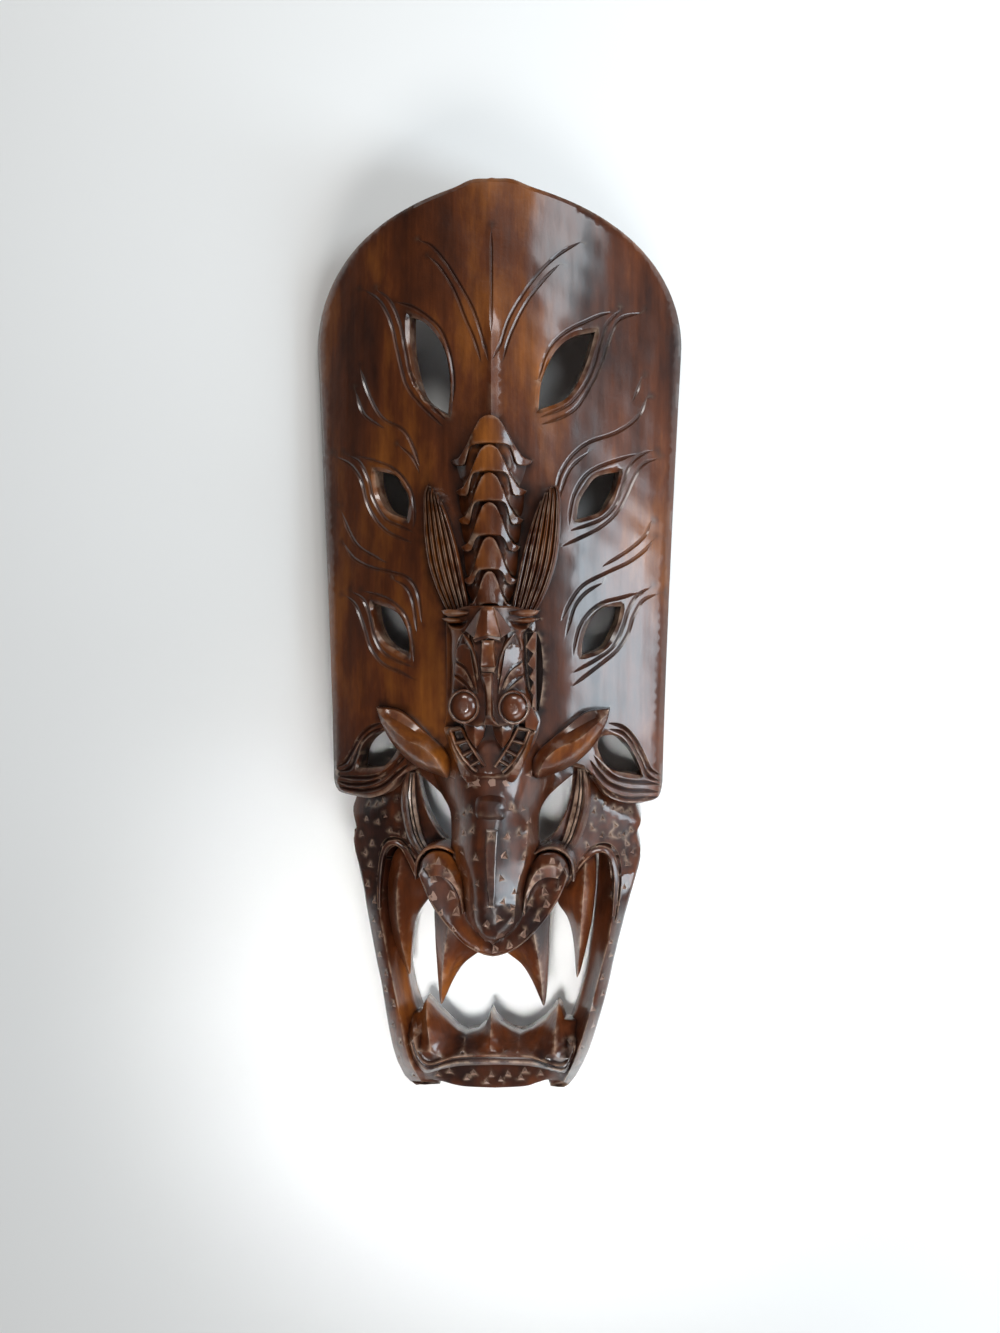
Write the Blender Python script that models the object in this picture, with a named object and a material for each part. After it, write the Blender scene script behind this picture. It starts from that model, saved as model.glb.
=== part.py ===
"""Dragon mask: a tall wall mask carved from one half log, lying on its flat back."""

import math

import bmesh
import bpy
import numpy as np
from mathutils import Vector
from mathutils.geometry import delaunay_2d_cdt

# Driving sizes in millimetres: X to the viewer's right, Y up the mask, Z out of its face
MM = 0.001
TOP_Y = 440.0
CHIN_Y = -440.0
SHOULDER_Y = 285.0
PANEL_FOOT_Y = -157.0
SHOULDER_HALF = 180.0
FOOT_HALF = 162.5
EDGE_Z = 25.0
CREST_Z = 105.0
ARCH_PINCH = 0.055
WALL = 24.0
RIM_WIDTH = 16.0
SPINE_Z = 132.0
HEAD_Z = 148.0
SNOUT_Z = 165.0
CHEEK_EDGE_Z = 24.0
CHEEK_CREST_Z = 82.0
RING_EDGE_Z = 34.0
RING_RIDGE_Z = 62.0
LIP_EDGE_Z = 130.0
LOWER_LIP_Z = 88.0
FANG_THICKNESS = 30.0
ROOT_Z = 86.0
EAR_ROOT_Z = 60.0
PANEL_SPACING = 30.0
FACE_SPACING = 22.0
WOOD_COLOUR = (0.09, 0.032, 0.012, 1.0)
WOOD_ROUGHNESS = 0.3


def remove_startup_objects():
    for thing in list(bpy.data.objects):
        bpy.data.objects.remove(thing, do_unlink=True)


def between(value, stations):
    """Height read between (place, height) stations."""
    places = [place for place, height in stations]
    heights = [height for place, height in stations]
    return float(np.interp(value, places, heights))


def curve(points, step):
    """Points of a smooth curve through the given ones, both ends kept."""
    ring = [points[0]] + list(points) + [points[-1]]
    out = [points[0]]
    for a, b, c, d in zip(ring, ring[1:], ring[2:], ring[3:]):
        count = max(1, round(math.dist(b, c) / step))
        for n in range(1, count + 1):
            t = n / count
            weights = (
                -0.5 * t + t * t - 0.5 * t**3,
                1 - 2.5 * t * t + 1.5 * t**3,
                0.5 * t + 2 * t * t - 1.5 * t**3,
                -0.5 * t * t + 0.5 * t**3,
            )
            out.append(tuple(sum(w * p[k] for w, p in zip(weights, (a, b, c, d))) for k in (0, 1)))
    return out


def flip(points):
    """The same points on the other side of the middle line, in the opposite order."""
    return [(-x, y) for x, y in reversed(points)]


def both_sides(half):
    """A closed outline from its right half, listed from the top of the middle line to the bottom."""
    other = [point for point in flip(half) if abs(point[0]) > 0.01]
    return list(half) + other


def inside(points, loop):
    """Which of the points lie inside a closed loop."""
    x, y = points[:, 0], points[:, 1]
    found = np.zeros(len(points), bool)
    for (x0, y0), (x1, y1) in zip(loop, loop[1:] + loop[:1]):
        crosses = (y0 > y) != (y1 > y)
        rise = y1 - y0 if y1 != y0 else 1e-9
        found ^= crosses & (x < (x1 - x0) * (y - y0) / rise + x0)
    return found


def finish(name, vertices, faces):
    """A closed object in metres from vertices in millimetres, its faces turned outward."""
    mesh = bpy.data.meshes.new(name)
    mesh.from_pydata([Vector(v) * MM for v in vertices], [], faces)
    work = bmesh.new()
    work.from_mesh(mesh)
    bmesh.ops.recalc_face_normals(work, faces=work.faces)
    work.to_mesh(mesh)
    work.free()
    return bpy.data.objects.new(name, mesh)


def slab(name, outline, front, back, holes=(), creases=(), spacing=FACE_SPACING):
    """A carved board over an outline: front and back give the point over each plan point."""
    loops = [list(outline)] + [list(hole) for hole in holes]
    lines = loops + [list(crease) for crease in creases]
    plan = [point for line in lines for point in line]
    edges = []
    start = 0
    for number, line in enumerate(lines):
        last = len(line) if number < len(loops) else len(line) - 1
        edges += [(start + n, start + (n + 1) % len(line)) for n in range(last)]
        start += len(line)
    taken = np.array(plan)
    low, high = taken.min(axis=0), taken.max(axis=0)
    rows = int((high[1] - low[1]) / (spacing * 0.866)) + 1
    filled = []
    for row in range(rows):
        y = low[1] + row * spacing * 0.866
        x = low[0] + (row % 2) * spacing / 2
        while x < high[0]:
            if np.hypot(taken[:, 0] - x, taken[:, 1] - y).min() > spacing * 0.6:
                filled.append((x, y))
            x += spacing
    every = [Vector(point) for point in plan + filled]
    flat, _, tris, _, _, _ = delaunay_2d_cdt(every, edges, [], 0, 1e-4)
    flat = np.array([tuple(v) for v in flat])
    middles = np.array([flat[list(tri)].mean(axis=0) for tri in tris])
    kept = np.zeros(len(tris), bool)
    for loop in loops:
        kept ^= inside(middles, loop)
    tris = [tuple(tri) for tri, keep in zip(tris, kept) if keep]
    used = sorted({v for tri in tris for v in tri})
    order = {v: n for n, v in enumerate(used)}
    tris = [tuple(order[v] for v in tri) for tri in tris]
    count = len(used)
    vertices = [front(*flat[v]) for v in used] + [back(*flat[v]) for v in used]
    sides = {(a, b) for tri in tris for a, b in zip(tri, tri[1:] + tri[:1])}
    faces = list(tris)
    faces += [tuple(count + v for v in reversed(tri)) for tri in tris]
    faces += [(b, a, count + a, count + b) for a, b in sides if (b, a) not in sides]
    return finish(name, vertices, faces)


def block(name, columns, rows, front, back):
    """A closed block over a grid: front and back give the point at each share (u, v)."""
    shares = [(i / columns, j / rows) for j in range(rows + 1) for i in range(columns + 1)]
    count = len(shares)
    width = columns + 1
    vertices = [front(u, v) for u, v in shares] + [back(u, v) for u, v in shares]
    faces = []
    for j in range(rows):
        for i in range(columns):
            a = j * width + i
            faces.append((a, a + 1, a + width + 1, a + width))
            faces.append(tuple(count + n for n in (a, a + width, a + width + 1, a + 1)))
    rim = [i for i in range(columns)]
    rim += [j * width + columns for j in range(rows)]
    rim += [rows * width + i for i in range(columns, 0, -1)]
    rim += [j * width for j in range(rows, 0, -1)]
    for a, b in zip(rim, rim[1:] + rim[:1]):
        faces.append((a, count + a, count + b, b))
    return finish(name, vertices, faces)


# The back panel: a board bent like half a drum, under a pointed arch

def half_width(y):
    share = min(max((y - PANEL_FOOT_Y) / (SHOULDER_Y - PANEL_FOOT_Y), 0.0), 1.0)
    return FOOT_HALF + (SHOULDER_HALF - FOOT_HALF) * share**1.35


def arch_point(angle):
    x = SHOULDER_HALF * math.cos(angle)
    pinch = ARCH_PINCH * math.sin(math.pi * abs(math.cos(angle)) ** 0.8)
    return (x, SHOULDER_Y + (TOP_Y - SHOULDER_Y) * (math.sin(angle) - pinch))


def drum(x):
    """Height of the panel's front, and its slope, over a place across the mask."""
    rise = CREST_Z - EDGE_Z
    return EDGE_Z + rise * (1 - (x / SHOULDER_HALF) ** 2), -2 * rise * x / SHOULDER_HALF**2


def panel_front(x, y):
    return (x, y, drum(x)[0])


def panel_back(x, y):
    """The hollow: a wall thick along the front's normal, down to a flat rim at the sides."""
    height, slope = drum(x)
    length = math.hypot(1, slope)
    fade = min(max((half_width(y) - 5 - abs(x)) / 30, 0.0), 1.0)
    rim = 2.2 * (half_width(y) - RIM_WIDTH - abs(x))
    return (x + fade * WALL * slope / length, y, max(0.0, min(height - WALL / length, rim)))


# The leaf eyes of the panel, right side first: outer tip, lower edge, inner tip, upper edge
EYES = {
    "eye_1": ((88, 304), (84, 268), (70, 236), (43, 220), (44, 250), (53, 278), (70, 298)),
    "eye_2": ((118, 166), (111, 138), (100, 125), (82, 119), (82, 137), (89, 151), (103, 164)),
    "eye_3": ((120, 38), (113, 9), (101, -5), (84, -12), (84, 4), (90, 20), (105, 35)),
    "eye_4": ((138, -126), (121, -123), (105, -114), (95, -98), (104, -88), (121, -92), (134, -107)),
}


def eye_loop(points, spacing):
    """A leaf outline with two sharp tips."""
    lower = curve(points[:4], spacing)
    upper = curve(points[3:] + points[:1], spacing)
    return lower[:-1] + upper[:-1]


def panel():
    side = [(half_width(y), y) for y in np.linspace(SHOULDER_Y, PANEL_FOOT_Y + 13, 14)]
    foot = curve([(148, -153), (133, -155), (119, -152), (108, -145), (98, -134), (88, -122), (0, -112)], 14)
    arch = [arch_point(a) for a in np.linspace(math.pi / 2, 0, 16)]
    outline = both_sides(arch[:-1] + side + foot)
    holes = []
    for points in EYES.values():
        loop = eye_loop(points, 14)
        holes += [loop, flip(loop)]
    rims = []
    for inset in (RIM_WIDTH, RIM_WIDTH + 9):
        line = [(half_width(y) - inset, y) for y in np.linspace(SHOULDER_Y + 50, PANEL_FOOT_Y + 18, 12)]
        rims += [line, flip(line)]
    ridge = [(0, y) for y in np.linspace(TOP_Y - 15, PANEL_FOOT_Y + 60, 14)]
    return slab("panel", outline, panel_front, panel_back, holes, rims + [ridge], PANEL_SPACING)


# The big head: cheeks, forehead and snout in one carved surface
SNOUT_HALF = ((-292, 2), (-280, 9), (-268, 21), (-256, 28), (-240, 31), (-216, 37), (-192, 43),
              (-162, 47), (-140, 53), (-100, 62), (-60, 40))
SNOUT_RIDGE = ((-292, 134), (-279, 149), (-260, SNOUT_Z), (-240, SNOUT_Z), (-200, 153), (-165, 142),
               (-140, 133), (-100, 124), (-60, 112))
BRIDGE_HALF = 7.0


def face_height(x, y):
    side = abs(x)
    cheek = CHEEK_EDGE_Z + (CHEEK_CREST_Z - CHEEK_EDGE_Z) * (1 - min(side / 148, 1.0) ** 2)
    half = between(y, SNOUT_HALF)
    if side >= half:
        return cheek
    share = max(side - BRIDGE_HALF, 0.0) / max(half - BRIDGE_HALF, 1.0)
    return cheek + (between(y, SNOUT_RIDGE) - cheek) * (1 - share**1.5)


def face_front(x, y):
    return (x, y, face_height(x, y))


def face_back(x, y):
    """Hollow behind, down to a flat rim along the cheeks' outer edge."""
    rim = 2.2 * (126 - abs(x))
    return (x, y, max(0.0, min(face_height(x, y) - WALL, rim, CHEEK_CREST_Z)))


BIG_EYE = ((75, -128), (71, -148), (64, -169), (53, -187), (42, -194), (42.5, -166), (49, -150), (61, -138))


def big_eye_loop(spacing):
    lower = curve(BIG_EYE[:5], spacing)
    upper = curve(BIG_EYE[4:] + BIG_EYE[:1], spacing)
    return lower[:-1] + upper[:-1]


def face():
    top = [(0, -60), (38, -62), (60, -88), (90, -128), (104, -138), (146, -142)]
    edge = curve([(146, -150), (145, -162), (142, -177), (139, -185), (143, -199), (143, -212),
                  (138, -228)], 10)
    corner = curve([(113, -232), (109, -209), (97, -199), (85, -206), (71, -229)], 9)
    lip = curve([(58, -244), (48, -259), (36, -272), (23, -284), (8, -291), (0, -292)], 12)
    outline = both_sides(top + edge + corner + lip)
    eye = big_eye_loop(12)
    foot = [(between(y, SNOUT_HALF) + 0.5, y) for y in (-198, -212, -227, -239, -249, -259, -269, -277)]
    bridge = [(BRIDGE_HALF, y) for y in np.linspace(-100, -262, 10)]
    rim = curve([(126, -146), (126, -176), (126, -225)], 14)
    creases = [foot, flip(foot), bridge, flip(bridge), rim, flip(rim)]
    return slab("face", outline, face_front, face_back, [eye, flip(eye)], creases)


def eye_band(side):
    """The raised rim on the outer side of a big eye slot."""
    inner = curve([(77, -123), (74, -148), (66, -172), (54, -190), (46, -199)], 14)
    outer = curve([(81, -119), (86, -141), (84, -164), (77, -184), (63, -205)], 14)

    def place(u, v, lift):
        n = v * (len(inner) - 1)
        a, b = inner[round(n)], outer[round(n * (len(outer) - 1) / (len(inner) - 1))]
        x, y = a[0] + (b[0] - a[0]) * u, a[1] + (b[1] - a[1]) * u
        return (side * x, y, face_height(x, y) + lift)

    rows = len(inner) - 1
    return block("eye_band", 2, rows, lambda u, v: place(u, v, 11 - 7 * u), lambda u, v: place(u, v, -12))


# The jaw ring, from the corner of the mouth down to the chin: (y, outer, ridge, inner)
RING = ((-196, 143.5, 113, 100), (-218, 141, 115, 99), (-245, 132, 115, 97.5), (-272, 126, 112, 95),
        (-298, 121, 107, 91), (-330, 114, 101, 85.5), (-356, 109, 93, 79), (-380, 104, 84, 71.5),
        (-400, 98, 76, 62), (-422, 89, 70, 56))


def ring_side(side):
    ys = np.linspace(RING[0][0], RING[-1][0], 14)
    columns = [[(row[0], row[k]) for row in reversed(RING)] for k in (1, 2, 3)]

    def front(u, v):
        y = float(ys[round(v * 13)])
        n = round(u * 3)
        outer, ridge, inner = (between(y, column) for column in columns)
        x = (outer, ridge, inner + 4, inner)[n]
        z = (RING_EDGE_Z, RING_RIDGE_Z, 45, 36)[n]
        z += (12, 22, 0, 0)[n] * between(y, ((-400, 1), (-340, 0)))
        return (side * x, y, z)

    def back(u, v):
        x, y, z = front(u, v)
        return (x, y, 0.0)

    return block("ring", 3, 13, front, back)


# The chin with the lower lip and three lower teeth
TOOTH_LINE = ((-72, -377), (-69, -366), (-64, -349), (-55, -361), (-42, -371), (-26, -380), (-12, -374),
              (-5, -368), (0, -360), (5, -368), (12, -374), (26, -380), (42, -371), (55, -361), (64, -351),
              (69, -366), (72, -377))
CHIN_EDGE = ((0, CHIN_Y), (36, -438), (52, -431), (62, -430), (70, -437), (78, -438))


def chin_height(x, y):
    lip = -404 + 7 * math.cos(x / 60 * math.pi / 2) if abs(x) < 70 else -398
    stations = ((CHIN_Y, 52), (lip - 13, 66), (lip - 6, LOWER_LIP_Z), (lip, LOWER_LIP_Z + 4),
                (lip + 8, LOWER_LIP_Z - 2), (-372, 70), (-349, 62))
    fall = max(abs(x) - 66, 0) * 1.4
    return between(y, stations) - fall


def chin():
    bottom = curve(list(CHIN_EDGE), 12)
    side = [(88, -424), (92, -408), (84, -388)]
    outline = list(reversed(TOOTH_LINE)) + flip(side) + flip(bottom) + bottom[1:] + side
    lines = [[(x, -404 + 7 * math.cos(x / 60 * math.pi / 2) + drop) for x in np.linspace(-62, 62, 11)]
             for drop in (0, -13)]

    def back(x, y):
        return (x, y, 0.0 if y < -398 else 34.0)

    return slab("chin", outline, lambda x, y: (x, y, chin_height(x, y)), back, [], lines, 18)


# The upper lip, which curls up into a nostril at each end: (outer point, inner point)
LIP = (((70, -219), (66, -217)), ((65, -232), (57, -215)), ((59, -243), (46, -218)),
       ((53, -253), (37, -227)), ((46, -262), (31, -239)), ((37, -272), (28, -254)),
       ((24, -284), (21, -266)), ((10, -291), (9, -275)), ((0, -293), (0, -277)))


def upper_lip():
    row = list(LIP) + [((-a[0], a[1]), (-b[0], b[1])) for a, b in reversed(LIP[:-1])]

    def front(u, v):
        outer, inner = row[round(v * (len(row) - 1))]
        x, y = outer[0] + (inner[0] - outer[0]) * u, outer[1] + (inner[1] - outer[1]) * u
        return (x, y, LIP_EDGE_Z - 18 * u - 10 * abs(x) / 67)

    def back(u, v):
        x, y, z = front(u, v)
        return (x, y, 74.0)

    return block("upper_lip", 1, len(row) - 1, front, back)


def nostril(side):
    """A curled tube that arches over the end of the lip."""
    centre, reach, thick = (53, -214), 15.0, 7.0
    angles = np.linspace(-0.35, math.pi + 0.2, 9)

    def place(u, v, lift):
        angle = float(angles[round(v * 8)])
        radius = reach + thick * (u - 0.5) * 2
        x = centre[0] + radius * math.cos(angle)
        y = centre[1] + radius * math.sin(angle)
        return (side * x, y, lift)

    def front(u, v):
        return place(u, v, 122 + 14 * math.sin(math.pi * u))

    return block("nostril", 4, 8, front, lambda u, v: place(u, v, 66))


# Each fang: root and tip on the plan, half its root's width, heights of root and tip, sideways bow
SIDE_FANG = ((87, -218), (81, -326), 16, (74, 66), 3)
CENTRE_FANG = ((37, -259), (49, -346), 17, (112, 98), 4)
SMALL_FANG = ((13, -71), (13, -95), 10, (142, 134), 0)


def fang(name, side, shape):
    """A curved fang with a ridge down its front, from a broad root to a point."""
    rows = 7
    root, tip, root_half, depth, bow_reach = shape
    root = (side * root[0], root[1])
    tip = (side * tip[0], tip[1])

    def middle(v):
        bow = side * bow_reach * math.sin(math.pi * v)
        return (root[0] + (tip[0] - root[0]) * v + bow, root[1] + (tip[1] - root[1]) * v)

    def half(v):
        return root_half * (1 - v) ** 0.8 + 1.6

    def front(u, v):
        x, y = middle(v)
        ridge = 1 - abs(2 * u - 1)
        height = depth[0] + (depth[1] - depth[0]) * v
        return (x + (2 * u - 1) * half(v), y, height - 14 * (1 - v * 0.7) * (1 - ridge))

    def back(u, v):
        x, y, z = front(u, v)
        height = depth[0] + (depth[1] - depth[0]) * v
        return (x, y, height - 16 - FANG_THICKNESS * (1 - v) ** 0.7)

    return block(name, 2, rows, front, back)


# The ears of the big head, each a leaf with a ridge
EAR_EDGE = ((112, -61), (92, -63), (80, -70), (69, -79), (55, -91), (45, -100), (39, -112), (41, -127),
            (54, -125), (70, -119), (84, -110), (98.5, -94.5), (109, -74))
EAR_RIDGE = ((110, -65), (97, -77), (82.5, -88.5), (65, -96), (53, -106), (45, -120))


def ear(side):
    outline = [(side * x, y) for x, y in EAR_EDGE]
    ridge = [(side * x, y) for x, y in EAR_RIDGE]

    def front(x, y):
        near = min(math.dist((x, y), point) for point in curve(ridge, 4))
        return (x, y, 99 + 18 * (1 - min(near / 15, 1.0)) + 0.10 * (112 - abs(x)))

    return slab("ear", outline, front, lambda x, y: (x, y, EAR_ROOT_Z), [], [ridge], 16)


# The small dragon down the middle: spine plates, fans and head
PLATE_APEX = (215.0, 187.5, 161.5, 134.0, 102.0, 70.0, 38.0)
PLATE_WING = (38.5, 33.0, 30.0, 27.0, 25.0, 21.0)
PLATE_BELL = ((0.0, 0.0), (0.24, 0.10), (0.42, 0.33), (0.58, 0.62), (0.78, 0.90), (1.0, 1.0))
PLATE_SWEEP = 42.0
PLATE_STEP = 9.0


def spine_z(x):
    return max(SPINE_Z - 0.028 * x * x, 92.0)


def plate(number):
    apex, below = PLATE_APEX[number], PLATE_APEX[number + 1]
    wing = PLATE_WING[number]
    bell = [(wing * across, apex - PLATE_SWEEP * drop) for across, drop in PLATE_BELL]
    foot = [(wing * 0.86, bell[-1][1] - 3), (wing * 0.62, bell[-2][1] - 5),
            (wing * 0.42, below + 2), (0, below + 3)]
    outline = both_sides(bell + foot)

    def front(x, y):
        share = (apex - y) / (apex - below)
        return (x, y, spine_z(x) + PLATE_STEP * max(0.0, 0.9 - 0.5 * share))

    return slab("plate_%d" % (number + 1), outline, front, lambda x, y: (x, y, ROOT_Z), [], [], 12)


def spine_bar():
    def front(u, v):
        half = 15 + 20 * (1 - v)
        x, y = (2 * u - 1) * half, 184 - 168 * v
        return (x, y, spine_z(x) - 7)

    return block("spine_bar", 6, 6, front, lambda u, v: front(u, v)[:2] + (ROOT_Z,))


FAN_OUTER = ((62, 150), (65, 133), (64.5, 105), (61.5, 80), (55, 58), (47, 40), (42, 31))
FAN_INNER = ((46, 136), (38, 113), (32, 94), (28, 75), (24, 56), (21, 44), (20, 31))
FAN_RIBS = 6


def fan(side):
    """A folded ear of the small dragon, pleated into ribs."""
    rows = len(FAN_OUTER) - 1

    def front(u, v):
        n = round(v * rows)
        a, b = FAN_OUTER[n], FAN_INNER[n]
        x, y = a[0] + (b[0] - a[0]) * u, a[1] + (b[1] - a[1]) * u
        high = round(u * 2 * FAN_RIBS) % 2
        return (side * x, y, 110 + 12 * u + 3.5 * high)

    return block("fan", 2 * FAN_RIBS, rows, front, lambda u, v: front(u, v)[:2] + (ROOT_Z,))


# The small dragon's lower jaw and its round nostrils (place across, place up, radius)
SMALL_JAW = ((38, -71), (42, -84), (36, -102), (28, -120), (15, -133), (0, -134), (0, -117), (12, -113),
             (22, -96), (30, -73))
SMALL_JAW_Z = 130.5
BULB = (23, -56, 14)
BULB_Z = 152.0
BULB_SIDES = 14


def small_head():
    """Cheeks, forehead, bridge, nostrils, fangs and lower jaw of the small dragon."""
    base = both_sides([(0, 38), (30, 35), (40, 28), (44, 5), (43, -35), (42, -70), (34, -98), (0, -108)])
    skull = both_sides([(0, 37), (22, 36), (34, 15), (32, 0), (33, -25), (38, -58), (31, -70), (0, -75)])
    pieces = [
        slab("small_cheeks", base, lambda x, y: (x, y, 122 - 0.006 * x * x),
             lambda x, y: (x, y, ROOT_Z), [], [], 24),
        slab("skull", skull, lambda x, y: (x, y, HEAD_Z - 4 - 0.012 * x * x),
             lambda x, y: (x, y, ROOT_Z + 6), [], [], 18),
    ]
    steps = ((36, 8, 5, 13), (5, -19, 6.5, 8), (-25, -71, 6, 4))
    for n, (top, bottom, above, below) in enumerate(steps):
        outline = [(above, top), (below, bottom), (-below, bottom), (-above, top)]
        height = HEAD_Z + 8 - 2 * n
        pieces.append(slab("bridge_%d" % n, outline, lambda x, y, z=height: (x, y, z),
                           lambda x, y: (x, y, ROOT_Z + 20), [], [], 40))
    for side in (-1, 1):
        pieces.append(bulb(side))
        pieces.append(fang("small_fang", side, SMALL_FANG))
        jaw = [(side * x, y) for x, y in SMALL_JAW]
        pieces.append(slab("small_jaw", jaw, lambda x, y: (x, y, SMALL_JAW_Z),
                           lambda x, y: (x, y, ROOT_Z), [], [], 20))
    return pieces


def bulb(side):
    """A round nostril, a short drum with a domed end."""
    across, up, radius = BULB

    def circle(share):
        angles = [math.tau * n / BULB_SIDES for n in range(BULB_SIDES)]
        reach = share * radius
        return [(side * across + reach * math.cos(a), up + reach * math.sin(a)) for a in angles]

    def front(x, y):
        share = math.dist((x, y), (side * across, up)) / radius
        return (x, y, BULB_Z - 5 * share**3)

    step = circle(0.6)
    return slab("bulb", circle(1), front, lambda x, y: (x, y, ROOT_Z), [], [step + step[:1]], 12)


def build():
    remove_startup_objects()
    wood = bpy.data.materials.new("lacquered_wood")
    wood.use_nodes = True
    shader = wood.node_tree.nodes["Principled BSDF"]
    shader.inputs["Base Color"].default_value = WOOD_COLOUR
    shader.inputs["Roughness"].default_value = WOOD_ROUGHNESS

    home = bpy.data.collections.new("dragon_mask")
    carved = bpy.data.collections.new("carving")
    bpy.context.scene.collection.children.link(home)
    bpy.context.scene.collection.children.link(carved)

    mask = panel()
    mask.name = "mask"
    mask.data.materials.append(wood)
    home.objects.link(mask)

    pieces = [face(), chin(), upper_lip(), spine_bar()]
    pieces += [plate(n) for n in range(len(PLATE_WING))]
    pieces += small_head()
    for side in (-1, 1):
        pieces += [eye_band(side), ring_side(side), nostril(side), ear(side), fan(side)]
        pieces.append(fang("side_fang", side, SIDE_FANG))
        pieces.append(fang("centre_fang", side, CENTRE_FANG))
    for piece in pieces:
        piece.hide_render = True
        piece.display_type = "WIRE"
        carved.objects.link(piece)

    union = mask.modifiers.new("carving", "BOOLEAN")
    union.operation = "UNION"
    union.operand_type = "COLLECTION"
    union.collection = carved
    union.solver = "EXACT"


build()
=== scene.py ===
"""Dragon mask: the carved relief, its lacquered wood, and a pale floor, light and camera."""

import math
import random

import bmesh
import bpy
import numpy as np
from mathutils import Matrix, Vector
from mathutils.bvhtree import BVHTree
from mathutils.geometry import delaunay_2d_cdt
from mathutils.kdtree import KDTree

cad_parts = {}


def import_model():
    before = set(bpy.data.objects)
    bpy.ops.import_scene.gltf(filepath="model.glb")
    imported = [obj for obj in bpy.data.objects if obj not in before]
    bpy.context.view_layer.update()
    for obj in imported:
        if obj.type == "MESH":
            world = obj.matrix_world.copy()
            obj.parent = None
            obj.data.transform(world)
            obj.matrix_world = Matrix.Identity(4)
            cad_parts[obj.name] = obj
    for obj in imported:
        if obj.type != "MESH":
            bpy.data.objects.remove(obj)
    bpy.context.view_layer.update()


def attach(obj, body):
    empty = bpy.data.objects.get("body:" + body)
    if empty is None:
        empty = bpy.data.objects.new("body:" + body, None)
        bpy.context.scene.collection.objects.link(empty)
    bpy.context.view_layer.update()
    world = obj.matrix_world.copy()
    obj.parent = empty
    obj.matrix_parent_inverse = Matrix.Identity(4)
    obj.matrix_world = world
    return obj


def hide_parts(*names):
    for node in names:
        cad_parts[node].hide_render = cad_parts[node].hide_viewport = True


# Sizes in millimetres, as the solids have them: X right, Y up the mask, Z out of its face
MM = 0.001
TOP_Y = 440.0
SHOULDER_Y = 287.0
FOOT_Y = -157.0
SHOULDER_HALF = 179.5
FOOT_HALF = 162.5
EDGE_Z = 25.0
CREST_Z = 105.0
ARCH_PINCH = 0.055
WALL = 24.0
RIM_WIDTH = 16.0
SPINE_Z = 132.0
SNOUT_Z = 165.0
CHEEK_EDGE_Z = 24.0
CHEEK_CREST_Z = 82.0
ROOT_Z = 86.0
GOUGE_WIDTH = 4.2
GOUGE_DEPTH = 2.6
CHIP_SIZE = 7.5
CHIP_DEPTH = 2.1
CHIP_GAP = 17.0
# Corners of a chip mark as (angle, share of its size), the strip kept plain beside each cut, and
# how near a point lies to a line that it is on
CHIP_CORNERS = ((0, 0.74), (2.25, 0.60), (-2.25, 0.60))
GUARD = 1.0
SAME_PLACE = 0.02

# The camera in millimetres and photograph pixels, and the degrees from which an edge is sharp
CAMERA = (146.0, 70.0, 1900.0)
TARGET = (4.6, -22.8, 60.0)
PIXELS_PER_RADIAN = 1900.0
PHOTO_HEIGHT = 1333
SENSOR = 36
SHARP_FROM = 32

chance = random.Random(7)
chip_places = []


def between(value, stations):
    """Height read between (place, height) stations."""
    return float(np.interp(value, [s[0] for s in stations], [s[1] for s in stations]))


def curve(points, step):
    """Points of a smooth curve through the given ones, of two or three numbers each."""
    ring = [points[0]] + list(points) + [points[-1]]
    out = [tuple(float(k) for k in points[0])]
    for a, b, c, d in zip(ring, ring[1:], ring[2:], ring[3:]):
        count = max(1, round(math.dist(b[:2], c[:2]) / step))
        for n in range(1, count + 1):
            t = n / count
            weights = (
                -0.5 * t + t * t - 0.5 * t**3,
                1 - 2.5 * t * t + 1.5 * t**3,
                0.5 * t + 2 * t * t - 1.5 * t**3,
                -0.5 * t * t + 0.5 * t**3,
            )
            near = list(zip(weights, (a, b, c, d)))
            out.append(tuple(sum(w * p[k] for w, p in near) for k in range(len(b))))
    return out


def flip(points):
    """The same points on the other side of the middle line, in the opposite order."""
    return [(-p[0],) + tuple(p[1:]) for p in reversed(points)]


def both_sides(half):
    """A closed outline from its right half, listed from the top of the middle to the bottom."""
    return list(half) + [p for p in flip(half) if abs(p[0]) > 0.01]


def sided(points, side):
    """Points of the right half, put on one side."""
    return [(side * p[0],) + tuple(p[1:]) for p in points]


def path_on(points, side):
    """A path of the right half on one side, turned so that its moulding faces the same way."""
    return flip(points) if side < 0 else list(points)


def flat_at(z):
    """A plain back at one height."""
    return lambda x, y: (x, y, z)


def upright_chips(places):
    """Chips whose points look up the mask, from rows of (x, y, size)."""
    return [(x, y, size, math.pi / 2) for x, y, size in places]


def loose_chips(places):
    """Chips that look up the mask, each turned a little by hand."""
    return [(x, y, size, math.pi / 2 + chance.uniform(-0.4, 0.4)) for x, y, size in places]


def beside(line, shifts, closed=False):
    """A line that runs beside another, on its left, at a distance of its own at each point."""
    out = []
    last = len(line) - 1
    for n, point in enumerate(line):
        before = line[n - 1] if n or closed else line[0]
        after = line[(n + 1) % len(line)] if n < last or closed else line[last]
        run = math.dist(before[:2], after[:2]) or 1.0
        shift = shifts[n] if hasattr(shifts, "__len__") else shifts
        out.append((
            point[0] - (after[1] - before[1]) / run * shift,
            point[1] + (after[0] - before[0]) / run * shift,
        ))
    return out


def turn(loop):
    """1 where a loop runs anticlockwise, -1 where it runs clockwise."""
    area = sum(a[0] * b[1] - b[0] * a[1] for a, b in zip(loop, loop[1:] + loop[:1]))
    return 1 if area > 0 else -1


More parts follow.
